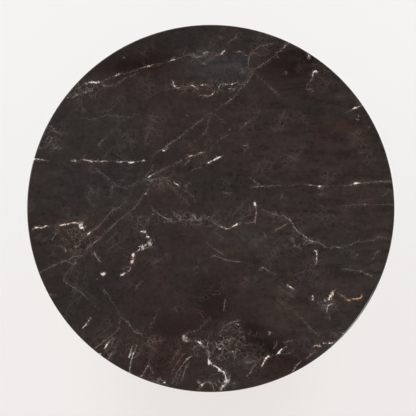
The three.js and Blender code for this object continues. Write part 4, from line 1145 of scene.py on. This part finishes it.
# CAD nodes that keep their shape take their finish here.
slotFinishes = {
    "plywood": plywood, "silicone": silicone, "satin_brass": turnedBrass, "black_steel": powderCoat,
    "cast_iron": castIron, "zinc_steel": zincPlate, "nylon": nylon, "rubber": rubber,
}
for row in frame["record"]["subparts"]:
    finish = slotFinishes.get(row["material_slot"])
    if finish:
        cadNodes[row["node"]].data.materials.clear()
        cadNodes[row["node"]].data.materials.append(finish)

# The sub-top and the mounting plate.
plateSettings = {"relief": 26, "chamfer": 8, "rodHole": 6.6}

relief, chamfer = plateSettings["relief"], plateSettings["chamfer"]
bottom, top, outer = levelsOf("sub_top")
subTopOutline = filleted(
    [(relief, bottom, 0.4), (outer - chamfer, bottom, 1.2), (outer, bottom + chamfer, 1.2), (outer, top, 0.5),
     (relief, top, 0.4)],
)
standIn(turnedPiece("sub_top_ply", subTopOutline, plywood, segments=256), "sub_top")

bottom, top, outer = levelsOf("mounting_plate")
plateOutline = ringOutline(plateSettings["rodHole"], outer, bottom, top, (0.4, 1.8, 0.8, 0.4))
plate = turnedPiece("mounting_plate_steel", plateOutline, powderCoat, segments=192)
standIn(plate, "mounting_plate")

# Screws and washers under the plate.
screwSettings = {
    "headRadius": 5.5, "domeStart": 3.4, "socketFlats": 4, "socketDepth": 2, "pitch": 1.0, "crest": 2.95,
    "washerBore": 3.4, "washerRadius": 7,
}


def makeScrew(name, centre, low, high, seat, settings):
    # A button-head screw: a hexagonal socket whose wall is at hexRadius(angle), a domed head, a plain bearing
    # face, and a threaded shank.
    angles = evenAngles(48)
    one = 0 * angles
    headRadius, socketTop = settings["headRadius"], low + settings["socketDepth"]
    wall = hexRadius(settings["socketFlats"], angles)
    start = settings["domeStart"]
    dome = [
        (start + (headRadius - start) * np.sin(a) + one, low + (seat - 0.9 - low) * (1 - np.cos(a)) + one)
        for a in np.linspace(0, pi / 2, 7)
    ]
    rows = [
        (one, socketTop - 0.5 + one),
        (wall * 0.96, socketTop + one),
        (wall, socketTop - 0.1 + one),
        (wall, low + 0.15 + one),
        (wall + 0.15, low + one),
        *dome,
        (headRadius + one, seat - 0.15 + one),
        (headRadius - 0.15 + one, seat + one),
        (3.1 + one, seat + one),
        (2.85 + one, seat + 0.3 + one),
    ]
    radius = np.array([r for r, z in rows])
    height = np.array([z for r, z in rows])
    shankRadius, shankHeight = threadedRows(
        seat + 0.6, high - 0.2, angles, settings["crest"], settings["pitch"], 0.45, 0.7, 5
    )
    radius = np.vstack([radius, shankRadius, one])
    height = np.vstack([height, shankHeight, high + one])
    return radialPiece(name, radius, height, angles, zincPlate, centre)


for n in range(1, 7):
    centre = middleOf(f"insert_{n}")
    bottom, top = levelsOf(f"top_screw_{n}")[:2]
    seat, washerTop = levelsOf(f"top_screw_washer_{n}")[:2]
    screw = makeScrew(f"screw_{n}", centre, bottom, top, seat, screwSettings)
    bore, outer = screwSettings["washerBore"], screwSettings["washerRadius"]
    section = ringOutline(bore, outer, seat, washerTop, (0.2, 0.3, 0.3, 0.2), steps=3)
    washer = turnedPiece(f"screw_washer_{n}", section, zincPlate, 64, centre)
    standIn(screw, f"top_screw_{n}")
    standIn(washer, f"top_screw_washer_{n}")
print("top fixings made")

# The column and its two collars.
columnWall = 2
bottom, top, columnRadius = levelsOf("column")
columnOutline = ringOutline(columnRadius - columnWall, columnRadius, bottom, top, (0.3, 0.4, 0.4, 0.3))
standIn(turnedPiece("column_tube", columnOutline, brushedBrass, segments=160), "column")


def collarWithHole(name, outline, holeHeight, settings, count=320):
    # A lathe with a round pocket for its grub screw on +X: within the hole's radius the surface drops by the
    # depth, r = outline r - depth (1 - smoothstep(rho)), rho = hypot(r angle, z - height). The angles crowd
    # towards the hole: angle(s) = s - 0.93 sin(s).
    s = evenAngles(count)
    angles = s - 0.93 * np.sin(s)
    wrapped = (angles + pi) % (2 * pi) - pi
    radius = outline[:, :1] + 0 * angles
    height = outline[:, 1:] + 0 * angles
    rho = np.hypot(radius * wrapped, height - holeHeight)
    facing = outline[:, :1] > columnRadius + 1.5
    holeRadius = settings["holeRadius"]
    drop = settings["holeDepth"] * (1 - smoothStep(holeRadius - 0.25, holeRadius + 0.05, rho)) * facing
    return radialPiece(name, np.maximum(radius - drop, columnRadius + 0.5), height, angles, turnedBrass)


def betweenPoints(outline, longest, closed=True):
    # The same outline with points added so that no side is longer than this.
    finer = []
    following = np.roll(outline, -1, axis=0) if closed else outline[1:]
    for here, ahead in zip(outline, following):
        count = max(1, int(np.ceil(np.linalg.norm(ahead - here) / longest)))
        finer.append(here + (ahead - here) * np.arange(count)[:, None] / count)
    return np.vstack(finer if closed else [*finer, outline[-1:]])


collarSettings = {
    "bore": 38.3, "neck": 43, "neckHeight": 14, "wall": 1.6, "holeRadius": 2.8, "holeDepth": 1.2,
}

collarLow, collarHigh, flareRadius = levelsOf("upper_collar")
neckTop = collarLow + collarSettings["neckHeight"]
sweep = np.linspace(pi, pi / 2, 25)[:, None]
run, rise = flareRadius - collarSettings["neck"], collarHigh - neckTop
wall = collarSettings["wall"]
# The flare is a quarter ellipse: r = R + a cos(angle), z = neck top + b sin(angle), with its back face one
# wall further out.
flareFront = np.hstack([flareRadius + run * np.cos(sweep), neckTop + (rise - wall) * np.sin(sweep)])
flareBack = np.hstack([flareRadius + (run + wall) * np.cos(sweep), neckTop + rise * np.sin(sweep)])[::-1]
neck = filleted(
    [(collarSettings["bore"], neckTop), (collarSettings["bore"], collarLow, 0.4),
     (collarSettings["neck"], collarLow, 1.2), (collarSettings["neck"], neckTop)],
    closed=False,
)
upperOutline = betweenPoints(np.vstack([neck, flareFront[1:], flareBack[:-1]]), 0.9)
upperCollar = collarWithHole("upper_collar_flare", upperOutline, collarLow + 7, collarSettings)
standIn(upperCollar, "upper_collar")

low, high = inMillimetres("lower_collar")
ringLow, ringRadius = low[2], high[0]
lowerOutline = betweenPoints(
    filleted(
        [(collarSettings["bore"], ringLow, 0.4), (ringRadius, ringLow, 2.2), (ringRadius, ringLow + 11, 2.5),
         (ringRadius - 5, ringLow + 12, 1.5), (ringRadius - 7, ringLow + 18, 1.2),
         (collarSettings["bore"], ringLow + 18, 0.4)],
    ),
    0.6,
)
lowerCollar = collarWithHole("lower_collar_ring", lowerOutline, ringLow + 5.5, collarSettings)
standIn(lowerCollar, "lower_collar")


def makeGrub(name, node, flats=2.5):
    # A cup-point grub screw along +X: rows of radius against length, with its socket's wall at
    # hexRadius(angle). It is built upright about its own axis and then laid over: x = length.
    low, high = inMillimetres(node)
    angles = evenAngles(36)
    one = 0 * angles
    start, end = low[0], high[0]
    axisHeight = (low[2] + high[2]) / 2
    wall = hexRadius(flats, angles)
    shankRadius, shankLength = threadedRows(start + 0.5, end - 0.3, angles, 2.45, 0.8, 0.3, 0.3, 6)
    radius = np.vstack([one, 1.4 + one, shankRadius, 1.9 + one, wall, wall * 0.98, one])
    socket = [end - inset + one for inset in (0, 0.1, 1.8, 2.0)]
    length = np.vstack([start + 0.3 + one, start + one, shankLength, *socket])
    piece = radialPiece(name, radius, length, angles, zincPlate)
    points = np.zeros(len(piece.data.vertices) * 3)
    piece.data.vertices.foreach_get("co", points)
    upright = points.reshape(-1, 3)
    laid = np.stack([upright[:, 2], upright[:, 1], axisHeight * mm - upright[:, 0]], axis=1)
    piece.data.vertices.foreach_set("co", laid.ravel())
    piece.data.update()
    standIn(piece, node)


makeGrub("upper_grub", "upper_grub_screw")
makeGrub("lower_grub", "lower_grub_screw")
print("column and collars made")

# The base cover and its rim strip.
coverSettings = {"wall": 1.5, "rimHeight": 16, "shoulder": 10, "cone": 0.22, "neckRadius": 40.2}

coverLow, coverTop, coverRadius = levelsOf("base_cover")
wall, turnIn = coverSettings["wall"], coverSettings["shoulder"]
bellR = coverRadius - turnIn
bellZ = coverLow + coverSettings["rimHeight"] + turnIn
swing = np.linspace(0, pi / 2, 9)[:-1, None]
shoulder = np.hstack([bellR + turnIn * np.cos(swing), bellZ - turnIn + turnIn * np.sin(swing)])
# The bell rises as a share of a straight cone plus a fourth-power sweep: z = z1 + H (c t + (1 - c) t^4).
t = np.linspace(0.004, 1, 60)[:, None]
lift = coverSettings["cone"] * t + (1 - coverSettings["cone"]) * t**4
bell = np.hstack([bellR + (coverSettings["neckRadius"] - bellR) * t, bellZ + (coverTop - bellZ) * lift])
outside = np.vstack([[[coverRadius, coverLow]], shoulder, bell])
slope = np.gradient(outside, axis=0)
slope /= np.linalg.norm(slope, axis=1)[:, None]
inside = outside + wall * np.stack([-slope[:, 1], slope[:, 0]], axis=1)
inside[0] = [coverRadius - wall, coverLow]
inside[-1] = [coverSettings["neckRadius"] - wall, coverTop]
cover = turnedPiece("base_cover_spun", np.vstack([outside, inside[::-1]]), turnedBrass, segments=256)
standIn(cover, "base_cover")

# The strip is a channel whose slot takes the cover's lower edge: the widths of its two walls and its slot.
stripSettings = {"outside": 1.7, "slot": 2.1, "inside": 1.9, "slotGap": 0.3}

bottom, top, outer = levelsOf("rim_strip")
slotTop, slotOuter = coverLow - stripSettings["slotGap"], outer - stripSettings["outside"]
slotInner = slotOuter - stripSettings["slot"]
inner = slotInner - stripSettings["inside"]
stripOutline = filleted(
    [(inner, bottom, 0.7), (outer, bottom, 1.0), (outer, top, 0.8), (slotOuter, top, 0.2),
     (slotOuter, slotTop, 0.1), (slotInner, slotTop, 0.1), (slotInner, top, 0.2), (inner, top, 0.7)],
)
standIn(turnedPiece("rim_strip_rubber", stripOutline, rubber, segments=256), "rim_strip")
print("base cover made")

# The base weight.
weightSettings = {
    "pocketDepth": 9, "pocketInner": 62, "pocketOuter": 165, "ribHalfWidth": 7, "ribs": 6,
    "recess": 32, "recessDepth": 18, "levellerPocket": 23, "levellerDepth": 5, "levellerCircle": 205,
    "bore": 8.2, "boreDepth": 22.8, "boss": 14, "bossHeight": 5, "rodHole": 7, "draft": 2.2,
    "hub": 44, "hubHeight": 88, "spigot": 35.6, "spigotHeight": 114,
}


def makeWeight(settings):
    # The underside is a relief over radius and angle: height = bottom + depth times a smooth step of how far
    # a point lies inside a pocket. Inside a rib pocket that is the least of r - inner, outer - r and
    # r sin(angle from the rib) - half width; in a leveller's pocket it is radius - distance to its centre.
    # Each leveller has a blind bore, and a low boss above it where the casting is thick enough to take it.
    low, high = inMillimetres("base_weight")
    bottom, outer = low[2], high[0]
    recess, hole = settings["recess"], settings["rodHole"]
    angles = evenAngles(640)
    rings = np.concatenate([np.linspace(hole, recess, 12)[:-1], np.linspace(recess, outer - 3, 110)])
    radius = rings[:, None] + 0 * angles
    step = 2 * pi / settings["ribs"]
    fromRib = np.minimum((angles - step / 2) % step, step - (angles - step / 2) % step)
    insideRib = np.minimum.reduce(
        [
            radius - settings["pocketInner"],
            settings["pocketOuter"] - radius,
            radius * np.sin(fromRib) - settings["ribHalfWidth"],
        ]
    )
    depth = settings["pocketDepth"] * smoothStep(-0.5, settings["draft"], insideRib)
    x, y = radius * np.cos(angles), radius * np.sin(angles)
    corner = settings["levellerCircle"] / sqrt(2)
    toLeveller = np.hypot(np.abs(x) - corner, np.abs(y) - corner)
    pocket = settings["levellerDepth"] * smoothStep(-0.4, 0.8, settings["levellerPocket"] - toLeveller)
    bore = settings["boreDepth"] * smoothStep(-0.2, 0.5, settings["bore"] - toLeveller)
    middle = settings["recessDepth"] * smoothStep(-0.3, 1.0, recess - radius)
    depth = np.maximum.reduce([depth, pocket, bore, middle])
    under = np.stack([radius, bottom + depth])
    hub, spigot = settings["hub"], settings["spigot"]
    hubTop, spigotTop = bottom + settings["hubHeight"], bottom + settings["spigotHeight"]
    upper = filleted(
        [(outer - 3, bottom), (outer, bottom + 3, 2), (outer, bottom + 12, 3), (outer - 8, bottom + 19, 3),
         (hub + 14, bottom + 20, 4), (hub + 4, bottom + 25, 4), (hub, bottom + 36, 6), (hub, hubTop, 1),
         (spigot, hubTop), (spigot, spigotTop - 2, 1), (spigot - 2, spigotTop, 0.5), (hole, spigotTop)],
        closed=False,
    )[1:]
    upper = betweenPoints(upper, 3.0, closed=False)
    upperRadius = upper[:, :1] + 0 * angles
    upperHeight = upper[:, 1:] + 0 * angles
    toBoss = np.hypot(
        np.abs(upperRadius * np.cos(angles)) - corner, np.abs(upperRadius * np.sin(angles)) - corner
    )
    upperHeight = upperHeight + settings["bossHeight"] * smoothStep(0, 4, settings["boss"] - toBoss)
    allRadius = np.vstack([under[0], upperRadius])
    allHeight = np.vstack([under[1], upperHeight])
    return radialPiece("base_weight_cast", allRadius, allHeight, angles, castIron, sharpAngle=40)


standIn(makeWeight(weightSettings), "base_weight")
print("base weight made")

# The tie rod, its nuts and washers.
rodSettings = {"crest": 5.95, "pitch": 1.75, "depth": 0.75, "lowerThread": 60, "upperThread": 45}


def makeRod(settings):
    # A plain rod with a helix on each end, its ends coned off.
    bottom, top = levelsOf("tie_rod")[:2]
    angles = evenAngles(40)
    one = 0 * angles
    thread = [settings[key] for key in ("crest", "pitch", "depth")]
    upR, upZ = threadedRows(top - settings["upperThread"], top - 0.2, angles, *thread)
    downR, downZ = threadedRows(-bottom - settings["lowerThread"], -bottom - 0.2, angles, *thread)
    radius = np.vstack([one, downR[::-1], upR, one])
    height = np.vstack([bottom + one, -downZ[::-1], upZ, top + one])
    return radialPiece("tie_rod_steel", radius, height, angles, zincPlate, sharpAngle=50)


nutSettings = {"flats": 18, "bore": 6.25, "pitch": 1.75, "countersink": 0.9}


def makeNut(node, settings):
    # A hexagon nut: its side is the smaller of the hexagon and a 30 degree cone at each face,
    # r = min(hexRadius, 0.985 flats / 2 + 1.73 distance from the face), and its bore is threaded:
    # r = bore + 0.02 + 0.25 (1 - cos(2 pi (height / pitch - angle / 2 pi))).
    bottom, top = levelsOf(node)[:2]
    flats, bore, sink = settings["flats"], settings["bore"], settings["countersink"]
    angles = evenAngles(96)
    one = 0 * angles
    hexagon = hexRadius(flats, angles)
    nearFace = np.array([0, 0.15, 0.3, 0.5, 0.75, 1.0, 1.3, 1.6])
    up = np.concatenate([nearFace, [3, 5, 7], 10 - nearFace[::-1]]) / 10 * (top - bottom)
    fromFace = np.minimum(up, top - bottom - up)
    side = np.minimum(hexagon, flats / 2 * 0.985 + 1.73 * fromFace[:, None])
    boreHeight = np.linspace(top - sink, bottom + sink, 34)[:, None] + one
    turns = boreHeight / settings["pitch"] - angles / (2 * pi)
    boreRadius = bore + 0.02 + 0.5 * (0.5 - 0.5 * np.cos(2 * pi * turns))
    radius = np.vstack([bore + sink + one, side, bore + sink + one, boreRadius])
    height = np.vstack([bottom + one, bottom + up[:, None] + one, top + one, boreHeight])
    return radialPiece(node + "_hex", radius, height, angles, zincPlate, middleOf(node), sharpAngle=28)


standIn(makeRod(rodSettings), "tie_rod")
for node in ("top_nut", "bottom_nut"):
    standIn(makeNut(node, nutSettings), node)
washerSettings = {"bore": 6.5, "top_washer": 12, "bottom_washer": 18}

for node in ("top_washer", "bottom_washer"):
    bottom, top = levelsOf(node)[:2]
    section = ringOutline(washerSettings["bore"], washerSettings[node], bottom, top, (0.3, 0.5, 0.5, 0.3))
    standIn(turnedPiece(node + "_round", section, zincPlate, segments=96), node)
print("tie rod made")

# The levelling feet.
padSettings = {"radius": 19, "shoulder": 11, "collar": 8, "mouth": 3.5, "socket": 4.7}
soleSettings = {"radius": 18, "grooves": (8.1, 14.1), "grooveDepth": 0.6}
bushSettings = {"flange": 11, "flangeHeight": 1.5, "body": 7, "bore": 5.1}
studSettings = {"radius": 4.8, "pitch": 1.5, "depth": 0.6, "hexFlats": 13, "hexLow": 4.2, "hexHigh": 7.9}


def makeStud(name, node, settings):
    # From the ball in the pad up: a ball r = 4.25 sin(a), z = 4.55 - 1.7 cos(a), a neck, a hexagon with coned
    # corners, and the thread.
    bottom, top = levelsOf(node)[:2]
    angles = evenAngles(72)
    one = 0 * angles
    swing = np.linspace(0.75, 2.25, 9)
    ball = [(4.25 * np.sin(a) + one, 4.55 - 1.7 * np.cos(a) + one) for a in swing]
    hexagon = hexRadius(settings["hexFlats"], angles)
    hexLow, hexHigh = bottom + settings["hexLow"], bottom + settings["hexHigh"]
    coned = settings["hexFlats"] / 2 * 0.985
    rows = [
        (one, bottom + one),
        *ball,
        (3 + one, 5.6 + one),
        (3 + one, hexLow - 0.2 + one),
        (3.3 + one, hexLow + one),
        (np.minimum(hexagon, coned), hexLow + one),
        (np.minimum(hexagon, coned + 0.5), hexLow + 0.3 + one),
        (hexagon, hexLow + 0.7 + one),
        (hexagon, hexHigh - 0.7 + one),
        (np.minimum(hexagon, coned + 0.5), hexHigh - 0.3 + one),
        (np.minimum(hexagon, coned), hexHigh + one),
        (settings["radius"] - 0.7 + one, hexHigh + one),
    ]
    thread = [settings[key] for key in ("radius", "pitch", "depth")]
    threadR, threadZ = threadedRows(hexHigh + 0.3, top - 0.2, angles, *thread)
    radius = np.vstack([np.array([r for r, z in rows]), threadR, one])
    height = np.vstack([np.array([z for r, z in rows]), threadZ, top + one])
    return radialPiece(name, radius, height, angles, zincPlate, middleOf(node))


for n in range(1, 5):
    centre = middleOf(f"leveller_pad_{n}")
    low, high = levelsOf(f"leveller_pad_{n}")[:2]
    radius, shoulder, collar, mouth, socket = padSettings.values()
    section = filleted(
        [(0, low), (radius - 0.4, low, 0.4), (radius, low + 0.8, 0.8), (radius - 1, high - 2.6, 1.6),
         (shoulder, high, 3), (collar, high, 0.5), (mouth, high, 0.4), (mouth, high - 1.2, 0.1),
         (socket, high - 1.2, 0.2), (socket, low + 1, 0.4), (0, low + 1)],
        closed=False,
    )
    pad = turnedPiece(f"pad_{n}", section, nylon, 96, centre)
    low, high = levelsOf(f"leveller_sole_{n}")[:2]
    groove, radius = low + soleSettings["grooveDepth"], soleSettings["radius"]
    # The sole's grooves are 2.2 mm wide at its underside and 1 mm wide at their floor.
    grooves = [
        (middle + aside, groove if abs(aside) < 1 else low, 0.2)
        for middle in soleSettings["grooves"] for aside in (-1.1, -0.5, 0.5, 1.1)
    ]
    section = filleted(
        [(0, low), *grooves, (radius, low, 0.7), (radius, high, 0.3), (0, high)], closed=False, steps=3
    )
    sole = turnedPiece(f"sole_{n}", section, rubber, 96, centre)
    low, high = levelsOf(f"leveller_bush_{n}")[:2]
    step, radius = low + bushSettings["flangeHeight"], bushSettings["flange"]
    body, bore = bushSettings["body"], bushSettings["bore"]
    section = filleted(
        [(bore, low, 0.5), (radius, low, 0.4), (radius, step, 0.3), (body, step, 0.2), (body, high, 0.4),
         (bore, high, 0.4)],
    )
    bush = turnedPiece(f"bush_{n}", section, zincPlate, 72, centre)
    stud = makeStud(f"stud_{n}", f"leveller_stud_{n}", studSettings)
    standIn(pad, f"leveller_pad_{n}", f"foot_{n}")
    standIn(sole, f"leveller_sole_{n}", f"foot_{n}")
    standIn(bush, f"leveller_bush_{n}")
    standIn(stud, f"leveller_stud_{n}", f"stud_{n}")
print("levelling feet made")


def paperSweep():
    # White seamless background paper: matt, with a faint tooth, darkened towards the front by painted shade
    # and warmed there by a painted glow of reflected light.
    # It is clear from below, where it would only hide the table's underside.
    material, tree, surface, place = startMaterial("paperSweep")
    tooth = addNode(tree, "TexNoise", None, {"Vector": place, "Scale": perMetre(3), "Detail": 4})
    tint = addNode(tree, "Mix", "RGBA", {0: tooth, 6: colour("#f4f4f3"), 7: colour("#f9f9f8")})
    parts = addNode(tree, "SeparateXYZ", None, {"Vector": place})
    # painted shade: the paper is painted darker towards the front
    front = addNode(
        tree, "MapRange", "SMOOTHSTEP", {"Value": parts.outputs["Y"], "From Min": -0.75, "From Max": 0.5}
    )
    sheet = addNode(tree, "Mix", "RGBA", {0: front, 6: colour("#f2f0ef"), 7: tint})
    # a painted warm glow of reflected light on the paper just in front of the table
    paintedGlowSpot = addNode(tree, "Mapping", None, {"Vector": place, "Location": (0, 1.7, 0), "Scale": (2.4, 3, 1)})
    reach = addNode(tree, "VectorMath", "LENGTH", {0: paintedGlowSpot})
    paintedGlowShare = addNode(
        tree, "MapRange", "SMOOTHSTEP",
        {"Value": reach.outputs["Value"], "From Min": 0.2, "From Max": 1.15, "To Min": 1, "To Max": 0},
    )
    paperWithPaintedGlow = addNode(tree, "Mix", "RGBA", {0: paintedGlowShare, 6: sheet, 7: colour("#ece7e6")})
    feed(tree, surface, {"Base Color": paperWithPaintedGlow, "Roughness": 0.9, "Specular IOR Level": 0.1})
    side = addNode(tree, "NewGeometry")
    clear = addNode(tree, "BsdfTransparent")
    either = addNode(tree, "MixShader", None, {0: side.outputs["Backfacing"], 1: surface, 2: clear})
    output = [node for node in tree.nodes if node.type == "OUTPUT_MATERIAL"][0]
    feed(tree, output, {"Surface": either})
    return material


floorHalf = 40.0
floorMesh = bpy.data.meshes.new("floor")
floorCorners = [(x * floorHalf, y * floorHalf, 0) for x, y in ((-1, -1), (1, -1), (1, 1), (-1, 1))]
floorMesh.from_pydata(floorCorners, [], [(0, 1, 2, 3)])
floorMesh.materials.append(paperSweep())
floor = addObject("floor", floorMesh)

lightSettings = {
    "horizon": 0.86,  # the walls' foot, as bright as the paper that meets it
    "walls": 0.36,  # the studio's walls, which the brass and the stone's edge mirror
    "window": 0.45,  # added to the walls at the upper left
    "ceiling": 0.08,  # the dark ceiling straight above, which the polished top mirrors
    "keyPower": 78,
    "paperPower": 1.95,
    "rimPower": 28,
    "fillPower": 9,
}

# The studio's walls are pale and its ceiling is dark, so that the polish shows the stone and not a white sky.
world = bpy.data.worlds.new("studio")
world.use_nodes = True
bpy.context.scene.world = world
worldTree = world.node_tree
worldTree.nodes.clear()
direction = addNode(worldTree, "TexCoord").outputs["Generated"]
upward = addNode(worldTree, "SeparateXYZ", None, {"Vector": direction})
toWindow = addNode(worldTree, "VectorMath", "DOT_PRODUCT", {0: direction, 1: (-0.85, 0.5, 0.1)})
walls = lightSettings["walls"]
window = addNode(
    worldTree, "MapRange", "SMOOTHSTEP",
    {"Value": toWindow.outputs["Value"], "From Min": 0.45, "From Max": 0.9, "To Min": walls,
     "To Max": walls + lightSettings["window"]},
)
skirting = addNode(
    worldTree, "MapRange", "SMOOTHSTEP",
    {"Value": upward.outputs["Z"], "From Min": 0.02, "From Max": 0.4, "To Min": lightSettings["horizon"],
     "To Max": window},
)
glow = addNode(
    worldTree, "MapRange", "SMOOTHSTEP",
    {"Value": upward.outputs["Z"], "From Min": 0.80, "From Max": 0.93, "To Min": skirting,
     "To Max": lightSettings["ceiling"]},
)
sky = addNode(worldTree, "Background", None, {"Color": colour("#fffefd"), "Strength": glow})
addNode(worldTree, "OutputWorld", None, {"Surface": sky})


def softbox(name, place, target, size, power):
    # An area light at a place in metres, turned to face its target. The camera doesn't see it.
    data = bpy.data.lights.new(name, "AREA")
    data.shape = "RECTANGLE"
    data.size, data.size_y = size
    data.energy = power
    box = addObject(name, data)
    box.location = place
    aim = box.location.copy()
    for i in range(3):
        aim[i] = target[i] - place[i]
    box.rotation_euler = aim.to_track_quat("-Z", "Y").to_euler()
    box.visible_camera = False
    return box


topHeight = cadBox[1][2]
rimPower, fillPower = lightSettings["rimPower"], lightSettings["fillPower"]
rimLight = softbox("rim_light", (1.5, -1.1, 2.7), (0.36, -0.27, topHeight), (0.55, 0.7), rimPower)
fillLight = softbox("fill_light", (-2.2, 1.1, 1.9), (-0.4, 0.2, topHeight), (1.6, 1.0), fillPower)
# The broad key overhead shows in no reflection: it lights the stone's colour and leaves its polish dark.
keyLight = softbox("key_light", (0, 0, topHeight + 3), (0, 0, 0), (4, 4), lightSettings["keyPower"])
keyLight.visible_glossy = False
paperSun = bpy.data.lights.new("paper_light", "SUN")
paperSun.energy = lightSettings["paperPower"]
paperSun.angle = radians(60)
paperLight = addObject("paper_light", paperSun)

# Three lights are for the table alone and one is for the paper alone, so the paper stays free of shadow.
tableOnly = bpy.data.collections.new("lit_table")
for piece in bpy.context.scene.objects:
    if piece.type == "MESH" and piece.name != "floor":
        tableOnly.objects.link(piece)
paperOnly = bpy.data.collections.new("lit_paper")
paperOnly.objects.link(floor)
for box in (rimLight, fillLight, keyLight):
    box.light_linking.receiver_collection = tableOnly
paperLight.light_linking.receiver_collection = paperOnly
paperLight.light_linking.blocker_collection = paperOnly

# The frame's width holds at a level a little below the top's face.
cameraSettings = {"distance": 2.4, "frameWidth": 1.0211, "offset": (-0.0069, 0.0012), "belowTop": 0.008}
lens = bpy.data.cameras.new("camera")
lens.lens = lens.sensor_width * cameraSettings["distance"] / cameraSettings["frameWidth"]
camera = addObject("camera", lens)
cameraHeight = topHeight - cameraSettings["belowTop"] + cameraSettings["distance"]
camera.location = (*cameraSettings["offset"], cameraHeight)
bpy.context.scene.camera = camera
bpy.context.scene.view_settings.view_transform = "Standard"

print("scene ready")
